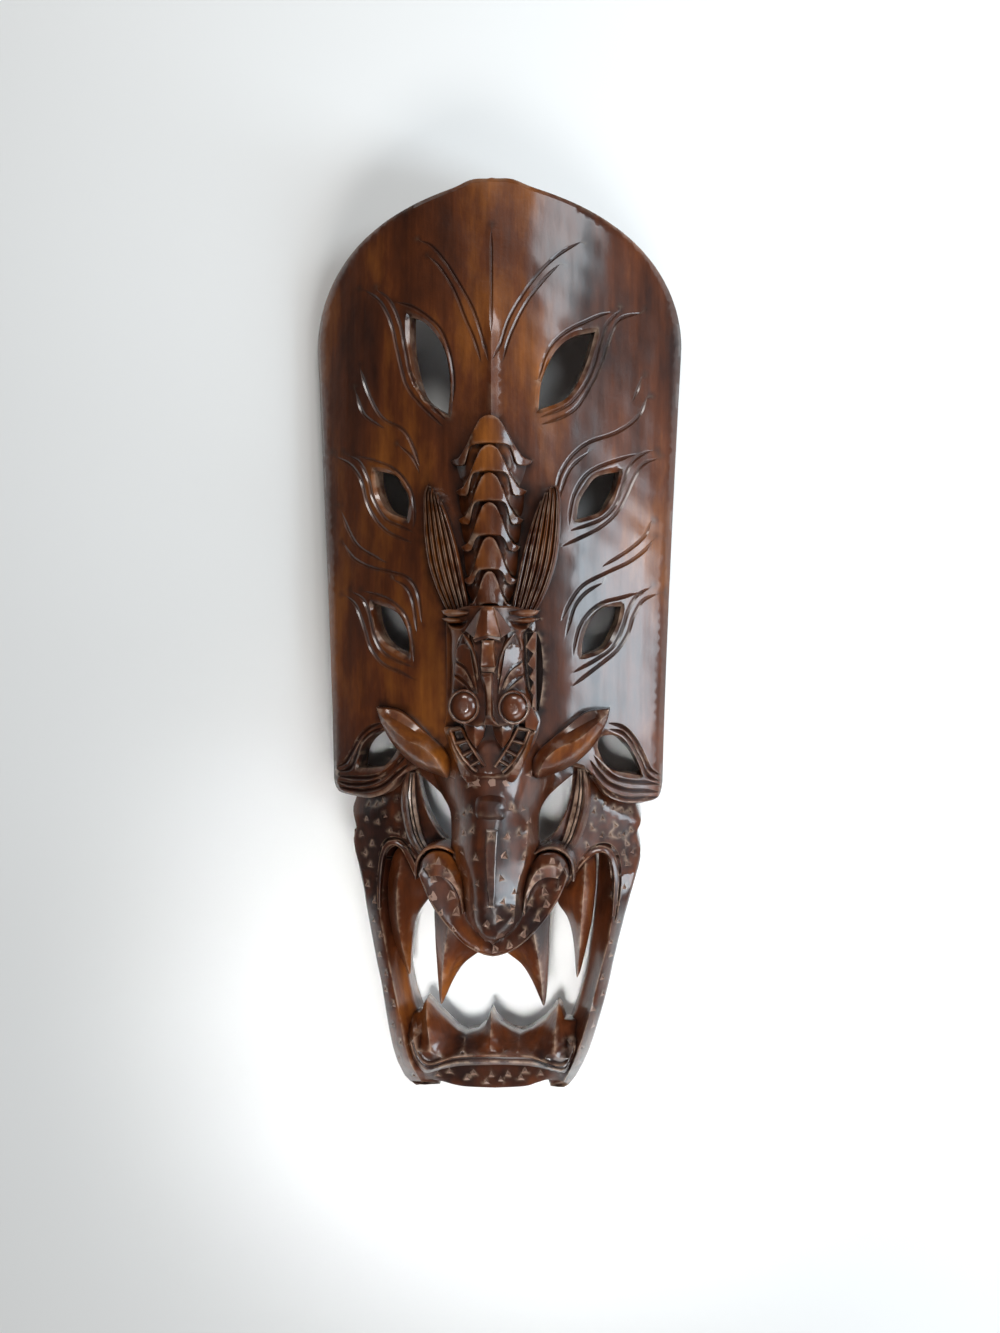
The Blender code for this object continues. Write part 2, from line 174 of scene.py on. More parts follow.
def inside(points, loop):
    """Which of the points lie inside a closed loop."""
    x, y = points[:, 0], points[:, 1]
    found = np.zeros(len(points), bool)
    for a, b in zip(loop, loop[1:] + loop[:1]):
        crosses = (a[1] > y) != (b[1] > y)
        rise = b[1] - a[1] if b[1] != a[1] else 1e-9
        found ^= crosses & (x < (b[0] - a[0]) * (y - a[1]) / rise + a[0])
    return found


def hand_work(x, y):
    """The slight waves that a gouge leaves on a wide face."""
    bent_x, bent_y = 0.9 * math.sin(x / 19), 1.7 * math.sin(y / 31)
    wave = 0.30 * math.sin(x / 13 + bent_y) * math.sin(y / 27 + bent_x)
    return wave + 0.16 * math.sin(x / 5.3 + y / 11) * math.sin(y / 9.1 - x / 23)


# Carving tools: gouge lines, chips, boards carved over an outline, and lofted blocks

def gouge(points, width=GOUGE_WIDTH, depth=GOUGE_DEPTH, ends=13.0):
    """A V cut along a line, thinning out at both ends."""
    line = curve(points, 2.4)
    reach = [0.0]
    for a, b in zip(line, line[1:]):
        reach.append(reach[-1] + math.dist(a, b))
    cut = []
    for place in reach:
        thin = min(1.0, (place + 0.3) / ends, (reach[-1] - place + 0.3) / ends) ** 0.6
        cut.append((width / 2 * thin, depth * thin))
    return line, cut


def scatter_chips(regions, gap=CHIP_GAP, clear=()):
    """Triangular chip marks in loose rows over some closed regions."""
    places = []
    for region in regions:
        spots = np.array(region)
        low, high = spots.min(axis=0)[:2], spots.max(axis=0)[:2]
        rows = int((high[1] - low[1]) / (gap * 0.8)) + 2
        grid = []
        for row in range(rows):
            x = low[0] + (row % 2) * gap / 2
            while x < high[0] + gap:
                grid.append((x + chance.uniform(-3, 3),
                             low[1] + row * gap * 0.8 + chance.uniform(-3, 3)))
                x += gap
        grid = np.array(grid)
        for place in grid[inside(grid, region)]:
            size = CHIP_SIZE * chance.uniform(0.75, 1.1)
            angle = math.pi / 2 + chance.uniform(-0.5, 0.5)
            near = [math.dist(place, line) for line in clear]
            if not near or min(near) > 6:
                places.append((float(place[0]), float(place[1]), size, angle))
    return places


class Plan:
    """The flat plan of a carved board: its points, its lines and what is cut into it."""

    def __init__(self):
        self.points = []
        self.edges = []

    def add(self, line, closed=False):
        start = len(self.points)
        self.points += [tuple(p[:2]) for p in line]
        count = len(line)
        spans = count if closed else count - 1
        self.edges += [(start + n, start + (n + 1) % count) for n in range(spans)]


def tree_of(points):
    tree = KDTree(max(len(points), 1))
    for n, point in enumerate(points):
        tree.insert((point[0], point[1], 0.0), n)
    tree.balance()
    return tree


def triangles(points, edges, loops):
    """A triangle mesh of the plan inside the loops: an array of points and a list of triangles."""
    flat, _, tris, _, _, _ = delaunay_2d_cdt([Vector(p) for p in points], edges, [], 0, 1e-4)
    flat = np.array([tuple(v) for v in flat])
    middles = np.array([flat[list(tri)].mean(axis=0) for tri in tris])
    kept = np.zeros(len(tris), bool)
    for loop in loops:
        kept ^= inside(middles, loop)
    tris = [tuple(tri) for tri, keep in zip(tris, kept) if keep]
    used = sorted({v for tri in tris for v in tri})
    order = {v: n for n, v in enumerate(used)}
    return flat[used], [tuple(order[v] for v in tri) for tri in tris]


def rims(tris):
    """The open borders of a triangle mesh, each a ring of points with the mesh on its left."""
    sides = {(a, b) for tri in tris for a, b in zip(tri, tri[1:] + tri[:1])}
    onward = {a: b for a, b in sides if (b, a) not in sides}
    rings = []
    while onward:
        first = next(iter(onward))
        ring = [first]
        here = onward.pop(first)
        while here != first:
            ring.append(here)
            here = onward.pop(here)
        rings.append(ring)
    return rings


def grid_fill(points, spacing, clear):
    """Evenly spaced plan points that keep clear of those given."""
    spots = np.array(points)
    low, high = spots.min(axis=0), spots.max(axis=0)
    tree = tree_of(points)
    out = []
    for row in range(int((high[1] - low[1]) / (spacing * 0.866)) + 1):
        y = low[1] + row * spacing * 0.866
        x = low[0] + (row % 2) * spacing / 2
        while x < high[0]:
            if tree.find((x, y, 0.0))[2] > clear:
                out.append((float(x), float(y)))
            x += spacing
    return out


def solid(name, vertices, faces):
    """A closed object in metres from millimetres, its faces turned outward."""
    mesh = bpy.data.meshes.new(name)
    mesh.from_pydata([Vector(v) * MM for v in vertices], [], faces)
    work = bmesh.new()
    work.from_mesh(mesh)
    bmesh.ops.recalc_face_normals(work, faces=work.faces)
    work.to_mesh(mesh)
    work.free()
    thing = bpy.data.objects.new(name, mesh)
    bpy.context.scene.collection.objects.link(thing)
    return thing


def board(name, outline, front, back, holes=(), creases=(), gouges=(), chips=(), spacing=5.0,
          round_by=1.2, fall=0.9, back_spacing=24.0, waves=1.0):
    """A closed board over an outline, its front carved and its back plain.

    front gives the height over a plan point, and back the point behind it. round_by and fall are
    the width and the drop of the softened edge along every border.
    """
    loops = [list(outline)] + [list(hole) for hole in holes]
    plan = Plan()
    for number, loop in enumerate(loops):
        plan.add(loop, closed=True)
        inward = turn(loop) * (1 if number == 0 else -1)
        plan.add(beside(loop, inward * round_by, closed=True), closed=True)
    for crease in creases:
        plan.add(crease)
    widest = GOUGE_WIDTH
    for line, cut in gouges:
        plan.add(line)
        for side in (1, -1):
            plan.add(beside(line, [side * half for half, _ in cut]))
            plan.add(beside(line, [side * (half + GUARD) for half, _ in cut]))
        widest = max(widest, 2 * max(half for half, _ in cut))
    pits = []
    for x, y, size, angle in chips:
        corners = [(x + math.cos(angle + turned) * size * reach,
                    y + math.sin(angle + turned) * size * reach)
                   for turned, reach in CHIP_CORNERS]
        plan.add(corners, closed=True)
        pits.append((x - 0.06 * size, y - 0.05 * size))
        plan.points.append(pits[-1])
        chip_places.append((x, y, size))
    fill = grid_fill(plan.points, spacing, spacing * 0.55)
    flat, tris = triangles(plan.points + fill, plan.edges, loops)

    border_tree = tree_of([p for loop in loops for p in loop])
    pit_tree = tree_of(pits)
    fine = []
    for line, cut in gouges:
        for (p, (h0, d0)), (q, (h1, d1)) in zip(zip(line, cut), zip(line[1:], cut[1:])):
            for t in (0, 1 / 3, 2 / 3):
                spot = (p[0] + (q[0] - p[0]) * t, p[1] + (q[1] - p[1]) * t)
                fine.append((spot, h0 + (h1 - h0) * t, d0 + (d1 - d0) * t))
    cut_tree = tree_of([spot for spot, _, _ in fine])

    vertices = []
    for x, y in flat:
        x, y = float(x), float(y)
        z = front(x, y) + waves * hand_work(x, y)
        if border_tree.find((x, y, 0.0))[2] < SAME_PLACE:
            z -= fall
        if pits and pit_tree.find((x, y, 0.0))[2] < SAME_PLACE:
            z -= CHIP_DEPTH
        if fine:
            deepest = 0.0
            for _, n, gap in cut_tree.find_range((x, y, 0.0), widest * 0.55):
                _, half, depth = fine[n]
                if half > 0.05:
                    deepest = max(deepest, depth * (1 - gap / half))
            z -= deepest
        vertices.append((x, y, z))
    count = len(vertices)
    faces = list(tris)

    rings = rims(tris)
    ring_points = [[tuple(flat[n]) for n in ring] for ring in rings]
    rear = Plan()
    for points in ring_points:
        rear.add(points, closed=True)
    rear_fill = grid_fill(rear.points, back_spacing, back_spacing * 0.5)
    rear_flat, rear_tris = triangles(rear.points + rear_fill, rear.edges, ring_points)
    rear_tree = tree_of(rear_flat)
    vertices += [back(float(x), float(y)) for x, y in rear_flat]
    faces += [tuple(count + v for v in reversed(tri)) for tri in rear_tris]
    for ring in rings:
        behind = [count + rear_tree.find((flat[n][0], flat[n][1], 0.0))[1] for n in ring]
        for k in range(len(ring)):
            j = (k + 1) % len(ring)
            faces.append((ring[j], ring[k], behind[k], behind[j]))
    return solid(name, vertices, faces)


def net(border, lines):
    """The height over a plan that a net of carved lines in space gives."""
    every = list(border) + [p for line in lines for p in line]
    plan = Plan()
    plan.add(border, closed=True)
    for line in lines:
        plan.add(line)
    flat, _, tris, _, _, _ = delaunay_2d_cdt([Vector(p) for p in plan.points], plan.edges, [], 0,
                                             1e-4)
    tree = tree_of(every)
    corners = []
    for x, y in [tuple(v) for v in flat]:
        found = tree.find_n((x, y, 0.0), 2)
        share = found[0][2] / max(found[0][2] + found[1][2], 1e-6)
        height = every[found[0][1]][2] * (1 - share) + every[found[1][1]][2] * share
        corners.append(Vector((x, y, height)))
    surface = BVHTree.FromPolygons(corners, [tuple(tri) for tri in tris])

    def height(x, y):
        hit = surface.ray_cast(Vector((x, y, 900.0)), Vector((0, 0, -1)))[0]
        if hit is None:
            hit = surface.find_nearest(Vector((x, y, every[tree.find((x, y, 0.0))[1]][2])))[0]
        return hit.z

    return height


def carved(name, border, lines, root, step=3.0, **options):
    """A board whose front is a net of lines in space, over a flat or given root."""
    lines = [curve(line, step) for line in lines]
    back = root if callable(root) else flat_at(root)
    return board(name, [p[:2] for p in border], net(border, lines), back,
                 creases=[[p[:2] for p in line] for line in lines], **options)


def smooth_loop(points, step):
    """A closed smooth outline through the points, with the corner kept at the first one."""
    return curve(list(points) + [points[0]], step)[:-1]


def loft(name, columns, rows, front, back):
    """A closed block over a grid: front and back give the point at each share (u, v)."""
    shares = [(i / columns, j / rows) for j in range(rows + 1) for i in range(columns + 1)]
    count = len(shares)
    width = columns + 1
    vertices = [front(u, v) for u, v in shares] + [back(u, v) for u, v in shares]
    faces = []
    for j in range(rows):
        for i in range(columns):
            a = j * width + i
            faces.append((a, a + 1, a + width + 1, a + width))
            faces.append(tuple(count + n for n in (a, a + width, a + width + 1, a + 1)))
    rim = list(range(columns)) + [j * width + columns for j in range(rows)]
    rim += [rows * width + i for i in range(columns, 0, -1)]
    rim += [j * width for j in range(rows, 0, -1)]
    for a, b in zip(rim, rim[1:] + rim[:1]):
        faces.append((a, count + a, count + b, b))
    return solid(name, vertices, faces)


def ribbon(name, path, profile, root, rows_step=3.0):
    """A carved moulding along a path of (x, y, z, half width), with a profile of (across, rise)."""
    line = curve(path, rows_step)
    centre = [(p[0], p[1]) for p in line]
    sides = beside(centre, 1.0)
    rows = len(line) - 1

    def front(u, v):
        n = round(v * rows)
        x, y, z, half = line[n]
        across, rise = profile[round(u * (len(profile) - 1))]
        dx, dy = sides[n][0] - centre[n][0], sides[n][1] - centre[n][1]
        return (x + dx * across * half, y + dy * across * half, z + rise)

    def back(u, v):
        x, y, _ = front(u, v)
        return (x, y, root)

    return loft(name, len(profile) - 1, rows, front, back)


# The back panel

def half_width(y):
    share = min(max((y - FOOT_Y) / (SHOULDER_Y - FOOT_Y), 0.0), 1.0)
    return FOOT_HALF + (SHOULDER_HALF - FOOT_HALF) * share**1.35


def arch_point(angle):
    x = SHOULDER_HALF * math.cos(angle)
    pinch = ARCH_PINCH * math.sin(math.pi * abs(math.cos(angle)) ** 0.8)
    blunt = 2.4 * math.exp(-(((abs(x) - 20) / 11) ** 2)) - 1.6 * math.exp(-((x / 8) ** 2))
    return (x, SHOULDER_Y + (TOP_Y - SHOULDER_Y) * (math.sin(angle) - pinch) + blunt)


def drum(x):
    rise = CREST_Z - EDGE_Z
    return EDGE_Z + rise * (1 - (x / SHOULDER_HALF) ** 2), -2 * rise * x / SHOULDER_HALF**2


def panel_height(x, y):
    """The bent board, softly ridged down its middle, with a sharp keel over the small dragon."""
    keel = between(y, ((190, 1), (285, 1), (335, 0))) * KEEL_RISE * max(0.0, 1 - abs(x) / KEEL_HALF)
    return drum(x)[0] + 1.2 * math.exp(-((x / 14) ** 2)) + keel


def panel_back(x, y):
    height, slope = drum(x)
    length = math.hypot(1, slope)
    fade = min(max((half_width(y) - 5 - abs(x)) / 30, 0.0), 1.0)
    rim = 2.2 * (half_width(y) - RIM_WIDTH - abs(x))
    return (x + fade * 0.45 * WALL * slope / length, y, max(0.0, min(height - WALL / length, rim)))


# Leaf eyes of the panel: outer edge from the outer tip to the inner one, then the edge above it
EYES = (
    (((-80, 312), (-79, 279), (-73, 251), (-64, 232), (-42, 218)),
     ((-40, 246), (-44, 274), (-53, 293), (-67, 307))),
    (((97, 297), (92, 278), (85, 258), (71, 234), (44, 222)),
     ((46, 245), (52, 263), (61, 279), (75, 291))),
    (((-116, 167), (-115, 154), (-110, 138), (-102, 127), (-83, 119)),
     ((-81, 139), (-87, 151), (-96, 162))),
    (((120, 165), (117, 150), (111, 137), (102, 126), (80, 119)),
     ((82, 135), (89, 148), (99, 160))),
    (((-119, 39), (-117, 23), (-112, 9), (-102, -2), (-82, -12)), ((-81, 3), (-85, 17), (-95, 31))),
    (((122, 36), (119, 21), (113, 7), (105, -4), (85, -11)), ((86, 4), (92, 21), (103, 34))),
    (((-135, -123), (-120, -122), (-107, -119), (-96, -107), (-91, -95)),
     ((-99, -85), (-111, -86), (-123, -93), (-132, -105))),
    (((142, -129), (128, -126), (115, -122), (106, -114), (100, -100)),
     ((102, -90), (114, -88), (125, -94), (135, -108))),
)

# Gouge lines of the panel: brow strokes, eye borders, flourishes, then the lower corners' scrolls
STROKES = (
    ((0, 388), (0, 360), (0, 324), (0, 294)),
    ((-68, 382), (-58, 377), (-44, 361), (-30, 339), (-17, 315), (-8, 287), (-3, 268)),
    ((-59, 366), (-49, 356), (-35, 333), (-25, 308), (-16, 287), (-10, 267)),
    ((83, 380), (69, 372), (55, 361), (41, 346), (27, 326), (16, 306), (8, 282), (1, 269)),
    ((63, 358), (50, 345), (36, 327), (25, 308), (16, 287), (11, 268)),
    ((-92, 326), (-77, 321), (-62, 311), (-49, 298), (-41, 279), (-37, 260), (-36, 246),
     (-37, 230)),
    ((-112, 339), (-99, 327), (-89, 304), (-84, 280), (-78, 255), (-64, 232), (-44, 213)),
    ((-125, 340), (-109, 327), (-98, 305), (-92, 279), (-83, 247), (-67, 226), (-47, 207)),
    ((112, 316), (101, 312), (87, 305), (72, 297), (58, 285), (50, 271), (44, 250)),
    ((120, 318), (108, 304), (101, 284), (96, 265), (88, 247), (72, 227), (46, 215)),
    ((139, 317), (119, 309), (110, 290), (103, 268), (93, 246), (76, 221), (47, 208)),
    ((-131, 265), (-122, 240), (-108, 217), (-87, 205), (-77, 189), (-70, 170)),
    ((-136, 243), (-127, 221), (-106, 207)),
    ((-89, 189), (-77, 178), (-70, 164)),
    ((141, 256), (137, 244), (132, 232)),
    ((146, 237), (137, 217), (117, 202), (90, 191), (74, 177), (64, 160), (61, 143)),
    ((90, 182), (75, 168), (68, 154), (64, 138)),
    ((-132, 181), (-113, 175), (-97, 168), (-86, 158), (-78, 144), (-75, 125), (-76, 112)),
    ((-143, 182), (-132, 175), (-123, 158), (-118, 140), (-106, 121), (-93, 114), (-78, 108)),
    ((-156, 181), (-142, 173), (-131, 158), (-124, 135), (-114, 118), (-100, 106), (-80, 98)),
    ((135, 182), (122, 177), (103, 170), (90, 162), (81, 150), (75, 133), (73, 113)),
    ((150, 186), (137, 179), (128, 167), (122, 148), (115, 131), (101, 118), (74, 108)),
    ((155, 178), (142, 172), (133, 157), (126, 141), (117, 125), (100, 110), (66, 93)),
    ((-152, 127), (-145, 110), (-134, 94), (-115, 83), (-104, 78)),
    ((-149, 96), (-140, 83), (-122, 74), (-100, 69), (-82, 63), (-72, 48), (-68, 21)),
    ((-95, 61), (-84, 54), (-77, 40), (-73, 12)),
    ((150, 117), (146, 106), (137, 96), (122, 85), (104, 74)),
    ((152, 99), (144, 89), (129, 78), (108, 68), (86, 56), (74, 40), (66, 23)),
    ((104, 58), (90, 50), (79, 37), (74, 22), (70, 8)),
    ((-127, 50), (-108, 45), (-95, 38), (-84, 26), (-78, 6), (-76, -17)),
    ((-140, 49), (-129, 42), (-122, 26), (-117, 6), (-105, -11), (-78, -22)),
    ((-147, 45), (-137, 36), (-128, 15), (-121, -5), (-108, -20), (-91, -27), (-76, -34)),
    ((139, 49), (122, 44), (106, 40), (94, 32), (84, 19), (79, 3), (77, -11)),
    ((149, 53), (137, 46), (129, 32), (124, 16), (116, -1), (102, -13), (77, -27)),
    ((156, 47), (143, 41), (134, 26), (129, 10), (118, -7), (101, -21), (76, -40)),
    ((-159, -124), (-150, -119), (-141, -106), (-132, -92), (-122, -83), (-110, -77)),
    ((-156, -128), (-144, -124), (-138, -112), (-132, -98), (-122, -88), (-109, -82)),
    ((-156, -133), (-138, -133), (-120, -131), (-104, -124), (-89, -109)),
    ((-159, -138), (-144, -140), (-126, -138), (-110, -131), (-98, -121), (-85, -109)),
    ((-156, -144), (-144, -145), (-129, -145), (-110, -139), (-95, -127), (-82, -116)),
    ((160, -129), (150, -123), (144, -110), (134, -91), (123, -80), (110, -76)),
    ((160, -135), (149, -130), (143, -116), (135, -100), (125, -87), (111, -82)),
    ((160, -139), (147, -136), (131, -134), (116, -129), (104, -118), (97, -107)),
    ((159, -146), (146, -144), (129, -142), (112, -135), (101, -124), (93, -111)),
    ((158, -151), (146, -151), (127, -150), (110, -143), (99, -132), (90, -119)),
)
CORNER_STROKES = 35
KEEL_HALF = 7
KEEL_RISE = 2.6
SLOT_DEPTH = 18.0
PANEL_FOOT = (
    ((-162, -140), (-157, -148), (-140, -151), (-125, -152), (-111, -148), (-99, -140), (-88, -127),
     (-60, -112)),
    ((162, -142), (159, -151), (151, -154), (138, -156), (124, -154), (110, -147), (100, -134),
     (89, -121), (60, -112)),
)


def leaf_eye(outer, inner):
    """A leaf-shaped hole with a sharp corner at each end."""
    return curve(outer, 3)[:-1] + curve((outer[-1],) + inner + (outer[0],), 3)[:-1]


def panel():
    arch = [arch_point(a) for a in np.linspace(math.pi / 2, 0, 70)]
    side = [(half_width(y), y) for y in np.linspace(SHOULDER_Y, -136, 90)]
    left_foot, right_foot = (curve(points, 4) for points in PANEL_FOOT)
    outline = arch[:-1] + side + right_foot
    outline += list(reversed(left_foot)) + flip(arch[1:-1] + side)
    holes = [leaf_eye(outer, inner) for outer, inner in EYES]
    slot = smooth_loop(SLOT, 3)
    slot_wall = beside(slot, turn(slot) * 0.8, closed=True)
    slot_floor = beside(slot, turn(slot) * 1.0, closed=True)

    def front(x, y):
        near = 30 < x < 50 and -70 < y < 15
        deep = SLOT_DEPTH if near and inside(np.array([(x, y)]), slot_wall)[0] else 0.0
        return panel_height(x, y) - deep

    gouges = [gouge(points, 3.6, 1.35) for points in STROKES[:CORNER_STROKES]]
    gouges += [gouge(points, 5.0, 3.0) for points in STROKES[CORNER_STROKES:]]
    keel = [[(x, y) for y in np.linspace(334 if x else 290, 212, 30)]
            for x in (-KEEL_HALF, 0, KEEL_HALF)]
    creases = keel + [slot + slot[:1], slot_floor + slot_floor[:1]]
    return board("panel", outline, front, panel_back, holes, creases, gouges, spacing=6.0,
                 round_by=4.0, fall=3.0)


# The big head: cheeks, forehead and snout in one surface, with slots for its eyes
SNOUT_HALF = (
    (-281, 1), (-276, 11), (-268, 20), (-260, 26.5), (-252, 28.5), (-241, 30), (-232, 30.5),
    (-219, 33.5), (-206, 39.5), (-194, 43), (-162, 46), (-140, 52), (-100, 62), (-60, 40),
)
SNOUT_RIDGE = (
    (-283, 128), (-279, 140), (-271, 152), (-258, 160), (-240, SNOUT_Z - 1.5), (-200, 153),
    (-165, 142), (-140, 133), (-100, 124), (-60, 112),
)
SNOUT_FOOT = (
    (-281, 126), (-268, 120), (-252, 114), (-232, 112), (-206, 108), (-190, 98), (-162, 84),
    (-100, 80),
)
CHEEK_FOLD = ((99, -143), (109, -161), (124, -170), (146, -178))
BRIDGE_HALF = 5.0
FLANK_SLOPE = 0.52
FLANK_SHARE = 0.72
SNOUT_CHIPS = (
    (-17, -155, 5), (-24, -159, 5), (-33, -164, 5), (-15, -173, 5), (-24, -177, 5.5),
    (-33, -185, 5), (-25, -194, 5.5), (-11, -197, 6), (-34, -201, 6), (-28, -210, 6),
    (-22, -214, 6), (-9, -220, 5.5), (-21, -237, 5.5), (-12, -243, 6), (-1, -257, 6.5),
    (-15, -260, 6), (-8, -270, 6.5), (11, -252, 6.5), (11, -270, 6), (22, -256, 6), (23, -242, 6),
    (15, -236, 5.5), (13, -215, 6), (16, -195, 6.5), (17, -178, 6), (37, -166, 5), (37, -184, 5),
    (31, -154, 5), (21, -152, 5), (33, -198, 5.5), (30, -216, 5), (25, -228, 5), (28, -176, 5),
)
CHEEK_CHIPS = (
    (97, -151), (106, -157), (115, -162), (123, -165), (131, -167), (95, -164), (104, -171),
    (93, -180), (117, -179), (112, -188), (103, -188), (125, -188), (132, -185), (128, -198),
    (121, -190), (88, -197), (82, -209), (125, -207), (134, -206), (128, -218), (-110, -171),
    (-104, -185), (-97, -187), (-91, -190), (-86, -199), (-96, -172), (-98, -153), (-95, -137),
    (-130, -176), (-136, -192), (-128, -162), (-119, -161), (-112, -157), (-118, -178), (-81, -209),
    (-124, -200), (-132, -210), (-126, -222),
)


def lean(x, y):
    """How far to the right the muzzle leans, as it was carved."""
    share = min(max((112 - abs(x)) / 36, 0.0), 1.0)
    return between(y, ((-200, 3.0), (-150, 1.5), (-110, 0.0))) * share


def leaning(make, *arguments):
    """A piece of the muzzle, put over to the side with its chips."""
    first = len(chip_places)
    piece = make(*arguments)
    for vertex in piece.data.vertices:
        vertex.co.x += lean(vertex.co.x / MM, vertex.co.y / MM) * MM
    for n in range(first, len(chip_places)):
        x, y, size = chip_places[n]
        chip_places[n] = (x + lean(x, y), y, size)
    return piece


def face_height(x, y):
    side = abs(x)
    cheek = CHEEK_EDGE_Z + (CHEEK_CREST_Z - CHEEK_EDGE_Z) * (1 - min(side / 148, 1.0) ** 2)
    if side > 96:
        cheek -= 0.4 * max(y - between(side, CHEEK_FOLD), 0.0)
    half = between(y, SNOUT_HALF)
    ridge = between(y, SNOUT_RIDGE)
    foot = max(between(y, SNOUT_FOOT), cheek)
    if side >= half:
        return max(cheek, foot - 3.5 * (side - half))
    reach = max(half - BRIDGE_HALF, 1.0)
    out = max(side - BRIDGE_HALF, 0.0)
    fall = (ridge - foot) * (out / reach) ** 1.9
    flat = between(y, ((-272, 0.0), (-250, 1.0), (-172, 1.0), (-150, 0.0))) if x > 0 else 0.0
    if flat:
        edge = FLANK_SHARE * reach
        beyond = max(out - edge, 0.0) / (reach - edge)
        plane = FLANK_SLOPE * min(out, edge)
        fall += (plane + (ridge - foot - plane) * beyond - fall) * flat
    return ridge - fall


def face_back(x, y):
    rim = 2.2 * (126 - abs(x))
    return (x, y, max(0.0, min(face_height(x, y) - WALL, rim, CHEEK_CREST_Z)))


CHEEK_RIGHT = (
    (137, -148), (137, -160), (142, -176), (139, -184), (136.5, -195), (141, -202), (141, -210),
    (136, -228),
)
CHEEK_LEFT = (
    (142, -148), (143, -156), (146, -166), (145, -174), (142.5, -182), (142, -189), (145, -197),
    (143, -210), (137, -228),
)
BIG_EYE_OUTER = ((75, -127), (72, -148), (65, -168), (54, -186), (42, -195))
BIG_EYE_INNER = ((42, -166), (48, -151), (60, -139))


def face():
    top = [(0, -60), (38, -62), (60, -88), (88, -120), (104, -134), (138, -141)]
    right, left = (curve(points, 4) for points in (CHEEK_RIGHT, CHEEK_LEFT))
    corner = curve([(113, -232), (109, -209), (97, -199), (85, -206), (71, -229)], 4)
    lip = curve([(58, -240), (48, -255), (36, -268), (23, -279), (8, -283), (0, -284)], 4)
    outline = top + right + corner + lip + flip(top[1:] + left + corner + lip[:-1])
    eye = leaf_eye(BIG_EYE_OUTER, BIG_EYE_INNER)
    foot = [(between(y, SNOUT_HALF), y) for y in np.linspace(-190, -279, 44)]
    below = [(between(y, SNOUT_HALF) + 4, y) for y in np.linspace(-196, -262, 30)]
    bridge = [(BRIDGE_HALF, y) for y in np.linspace(-100, -270, 50)]
    flank = [(BRIDGE_HALF + FLANK_SHARE * (between(y, SNOUT_HALF) - BRIDGE_HALF), y)
             for y in np.linspace(-150, -264, 40)]
    fold = curve([(p[0], p[1]) for p in CHEEK_FOLD[:-1]] + [(136, -175)], 4)
    halves = (foot, below, bridge, fold)
    creases = [line for half in halves for line in (half, flip(half))] + [flank]
    brow = [(20, -112), (44, -112), (38, -128), (14, -132)]
    chips = loose_chips((x - lean(x, y), y, size) for x, y, size in SNOUT_CHIPS)
    chips += loose_chips((x, y, chance.uniform(3.8, 4.8)) for x, y in CHEEK_CHIPS)
    chips += scatter_chips([brow, flip(brow)], 13.5)
    grooves = [gouge([p for p in ARCH_GROOVE[side] if p[1] > -229], 3.0, 2.6, 4)
               for side in (1, -1)]
    return board("face", outline, face_height, face_back, [eye, flip(eye)], creases, grooves, chips,
                 4.5, waves=0.7)


def eye_band(side):
    """The rim on the outer side of a big eye slot: a broad bead and two fine lines inside it."""
    if side > 0:
        path = [(85, -121, 4.5), (86, -140, 7.5), (84.5, -157, 8.7), (80.5, -174, 8.7),
                (74.5, -190, 7.5), (66, -202, 5.5)]
    else:
        path = [(-62, -207, 4.5), (-69.5, -200, 6), (-77.5, -186, 7.5), (-82.5, -165, 7.7),
                (-84, -146, 7), (-81.6, -125, 4.5)]
    path = [(x, y, face_height(x, y) + 2, half) for x, y, half in path]
    profile = ((1.0, 0), (0.96, 8.0), (0.7, 10.6), (0.3, 11.0), (0.04, 9.8), (-0.04, 7.6),
               (-0.14, 9.8), (-0.36, 9.6), (-0.46, 7.2), (-0.56, 8.8), (-0.97, 7.0), (-1.0, 0))
    return ribbon("eye_rim", path, profile, 40.0)


def nose_bump():
    """The polished bump at the root of the snout."""
    border = smooth_loop([(0, -139, 133), (12, -141, 132), (15, -149, 133), (14, -160, 137),
                          (8, -165, 139), (-8, -165, 139), (-14, -160, 137), (-15, -149, 133),
                          (-12, -141, 132)], 3)
    lines = [[(-11, -146, 138), (0, -145, 139.5), (11, -146, 138)],
             [(-11, -158, 141), (0, -159, 143), (11, -158, 141)]]
    return carved("nose_bump", border, lines, 112.0, waves=0.6, round_by=1.6)


def nose_strip():
    """The flat strip down the ridge of the snout."""
    left = [(-3.8, -171), (-4.6, -190), (-3.8, -208), (-2.8, -225), (-1.0, -241)]
    right = [(6.8, -171), (5.2, -190), (4.6, -208), (4.6, -225), (4.2, -241)]
    outline = curve(left, 3) + curve(list(reversed(right)), 3)

    def lift(x, y):
        return face_height(0, y) + 0.3 + 1.1 * min(1.0, max(y + 241, 0) / 30)

    return board("nose_strip", outline, lift, flat_at(118.0),
                 chips=upright_chips([(1.0, -177, 5.4)]), waves=0.4, spacing=4, round_by=0.8,
                 fall=0.7)


